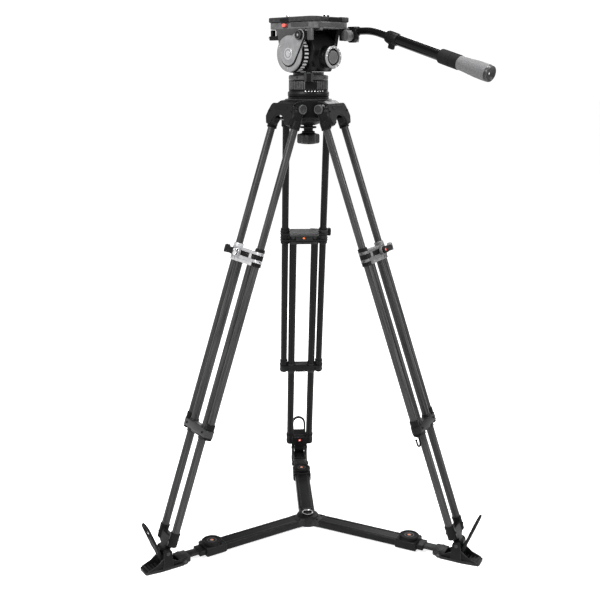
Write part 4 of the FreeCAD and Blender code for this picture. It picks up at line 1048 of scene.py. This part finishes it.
def bar_clamp():
    """The rosette clamp on the platform's boss and its wing knob."""
    clamp = Shape()
    outline = [(-14, -10), (-6, -16), (8, -16), (16, -8), (16, 14), (12, 21), (-10, 21), (-14, 16)]
    clamp.plate([outline], 13.8, BLACK, across(68.3, 80, PIVOT_HEIGHT), bevel=2.5, steps=3)
    clamp.rod(11, (88, BAR_Y, 1288), (100, BAR_Y, 1288), BLACK, 2.0)
    clamp.build("bar_clamp_casting", "bar", ["pan_bar_clamp"], remesh=0.8)
    teeth = Shape()
    teeth.plate([gear(11.9, 1.0, 28)], 2.6, MID, across(59.7, 80, PIVOT_HEIGHT), bevel=0.3, steps=1)
    teeth.build("bar_rosette", "bar")

    knob = Shape()
    knob.lathe([(0, 0), (5, 0), (5, 4), (8.4, 4.2), (9, 5), (9, 7.6), (7, 9.4), (0, 10.4)], MID,
               move(80, 75.6, PIVOT_HEIGHT) @ turn(-90, "X"), 48)
    wing = [(-5, -15), (5, -15), (7, -5), (6, 0), (7, 5), (5, 15), (-5, 15), (-7, 5), (-6, 0), (-7, -5)]
    knob.plate([wing], 6.8, MID, across(83.5, 80, PIVOT_HEIGHT), bevel=1.8, steps=3)
    knob.rod(4, (80, 43, PIVOT_HEIGHT), (80, 77, PIVOT_HEIGHT), "steel")
    knob.build("bar_wing_knob", "bar_knob", ["pan_bar_knob"])


def pan_bar():
    """The bent inner tube, the outer tube, the twist collar and the foam grip."""
    bar = Shape()
    slope = Vector((*polar(1, -BAR_SLOPE), 0)).xzy
    start, end = BEND - Vector((26, 0, 0)), BEND + slope * 26
    path = [Vector((x, BAR_Y, BEND.z)) for x in (86, 100, 110)]
    for t in (i / 12 for i in range(13)):
        path.append(start * (1 - t) ** 2 + BEND * 2 * t * (1 - t) + end * t ** 2)
    path += [BEND + slope * s for s in (40, 80, 150, 219)]
    bar.sweep(path, 8.5, "gloss_black", segments=40)
    bar.build("bar_bent_tube", "bar", ["pan_bar_inner_tube"])

    tube = Shape()
    tube.lathe([(8.6, 85.2), (11.7, 85.2), (12.3, 85.8), (12.3, 330), (0, 330)], "gloss_black", segments=64)
    tube.build("bar_outer_carbon", "bar_outer", ["pan_bar_outer_tube"], place=HEAD @ BAR)

    collar = Shape()
    collar.plate([gear(14.5, 0.7, 30, 0.6), circle(8.7)], 22, PLASTIC, up(65), bevel=0.6, steps=1)
    for end in ([(8.7, 50.1), (12.2, 50.1), (13.2, 51), (13.6, 54)],
                [(14.2, 75.5), (14.4, 76.5), (14.4, 80), (13.2, 83.4), (12.4, 84.4), (8.7, 84.4)]):
        collar.lathe(end, PLASTIC, segments=64)
    collar.block((13, 8, 16), PLASTIC, move(17.6, 0, 68), 1.6)
    collar.block((3.2, 6.4, 13), DARK, move(23.3, 0, 68), 1.0)
    collar.block((4, 10, 20), PLASTIC, move(13.2, 0, 68), 1.4)
    collar.build("bar_twist_collar", "bar_collar", ["pan_bar_collar"], place=HEAD @ BAR)

    grip = Shape()
    sleeve = [(12.4, 215.1), (15.2, 215.1), (16, 216), (16.4, 220), (16.4, 246), (15.7, 247), (15.7, 248.4),
              (16.4, 249.4), (16.4, 268), (15.6, 269.4), (12.4, 269.4)]
    grip.lathe(sleeve, "rubber", segments=72)
    foam = [(15.2, 269.4), (15.4, 272), (15.9, 285), (17.1, 302), (18.2, 318), (18.5, 332), (18.5, 345),
            (18.3, 348)]
    grip.lathe(foam, "foam", segments=96)
    cap = [(18.3, 348), (18.2, 352), (17.4, 354.6), (16, 355.6), (14.6, 355), (10, 351.6), (4, 350),
           (0, 349.8)]
    grip.lathe(cap, DARK, segments=96)
    grip.lathe([(2.2, 349.6), (2.2, 350.6), (1.4, 351), (0, 351)], "steel", segments=24)
    grip.build("bar_grip_foam", "bar_outer", ["pan_bar_grip"], place=HEAD @ BAR)


def apex_and_head():
    for piece in (apex, apex_trim, bowl_parts, pan_section, housing, tilt_ring, dial, platform, side_cover,
                  head_controls, plate_parts, bar_clamp, pan_bar):
        piece()


# ---------------------------------------------------------------- stage

def add(name, data, location=(0, 0, 0)):
    obj = bpy.data.objects.new(name, data)
    obj.location = location
    bpy.context.scene.collection.objects.link(obj)
    return obj


def aim(obj, direction):
    """Turns a camera's or a light's view along a direction."""
    obj.rotation_euler = direction.to_track_quat("-Z", "Y").to_euler()


def make_camera():
    """The photograph's viewpoint, in metres: almost straight on, looking slightly down."""
    azimuth, elevation, distance = math.radians(-3.09), math.radians(13.7), 2.427
    target = Vector((-0.0202, 0.0067, 0.6237))
    level = math.cos(elevation)
    back = Vector((math.sin(azimuth) * level, -math.cos(azimuth) * level, math.sin(elevation)))
    camera = add("camera", bpy.data.cameras.new("camera"), target + back * distance)
    camera.data.sensor_width = 36
    camera.data.lens = 56.6
    aim(camera, -back)
    bpy.context.scene.camera = camera


def area_light(name, place, size, power):
    light = bpy.data.lights.new(name, "AREA")
    light.shape = "RECTANGLE"
    light.size, light.size_y = size
    light.energy = power
    aim(add(name, light, place), Vector((0, 0, 0.7)) - Vector(place))


def make_floor():
    """A pale floor that glows a little, so that it runs into the background without a horizon."""
    mesh = bpy.data.meshes.new("floor")
    corners = [(40.0 * x, 40.0 * y, 0) for x, y in ((-1, -1), (1, -1), (1, 1), (-1, 1))]
    mesh.from_pydata(corners, [], [(0, 1, 2, 3)])
    floor = add("floor", mesh, (0, 0, -0.0005))
    look = Look("pale_floor", (0.62, 0.62, 0.62), 0.9)
    look.set("Specular IOR Level", 0.1)
    look.set("Emission Color", (1, 1, 1, 1))
    look.set("Emission Strength", 0.8)
    floor.data.materials.append(look.material)


def make_studio():
    """White surroundings that dim overhead, and four soft boxes."""
    world = bpy.data.worlds.new("studio")
    world.use_nodes = True
    sky = NodeTree(world.node_tree)
    height = sky.node("ShaderNodeSeparateXYZ", vector=sky.coords("Generated")).outputs["Z"]
    fade = sky.node("ShaderNodeMapRange", interpolation_type="SMOOTHSTEP", value=height, from_min=0.2,
                    from_max=0.55, to_min=1.05, to_max=0.2)
    background = sky.tree.nodes["Background"]
    background.inputs["Color"].default_value = (1, 1, 1, 1)
    sky.feed(background.inputs["Strength"], fade.outputs["Result"])
    bpy.context.scene.world = world
    area_light("key", (-2.0, -2.2, 3.1), (0.8, 1.2), 190)
    area_light("right", (2.4, -1.5, 2.4), (0.4, 1.6), 90)
    area_light("top", (0.3, -0.1, 3.3), (0.9, 0.9), 120)
    area_light("back", (1.2, 2.8, 2.4), (1.4, 0.9), 28)
    bpy.context.scene.view_settings.view_transform = "Standard"


dress_nodes()
legs()
apex_and_head()
make_camera()
make_floor()
make_studio()
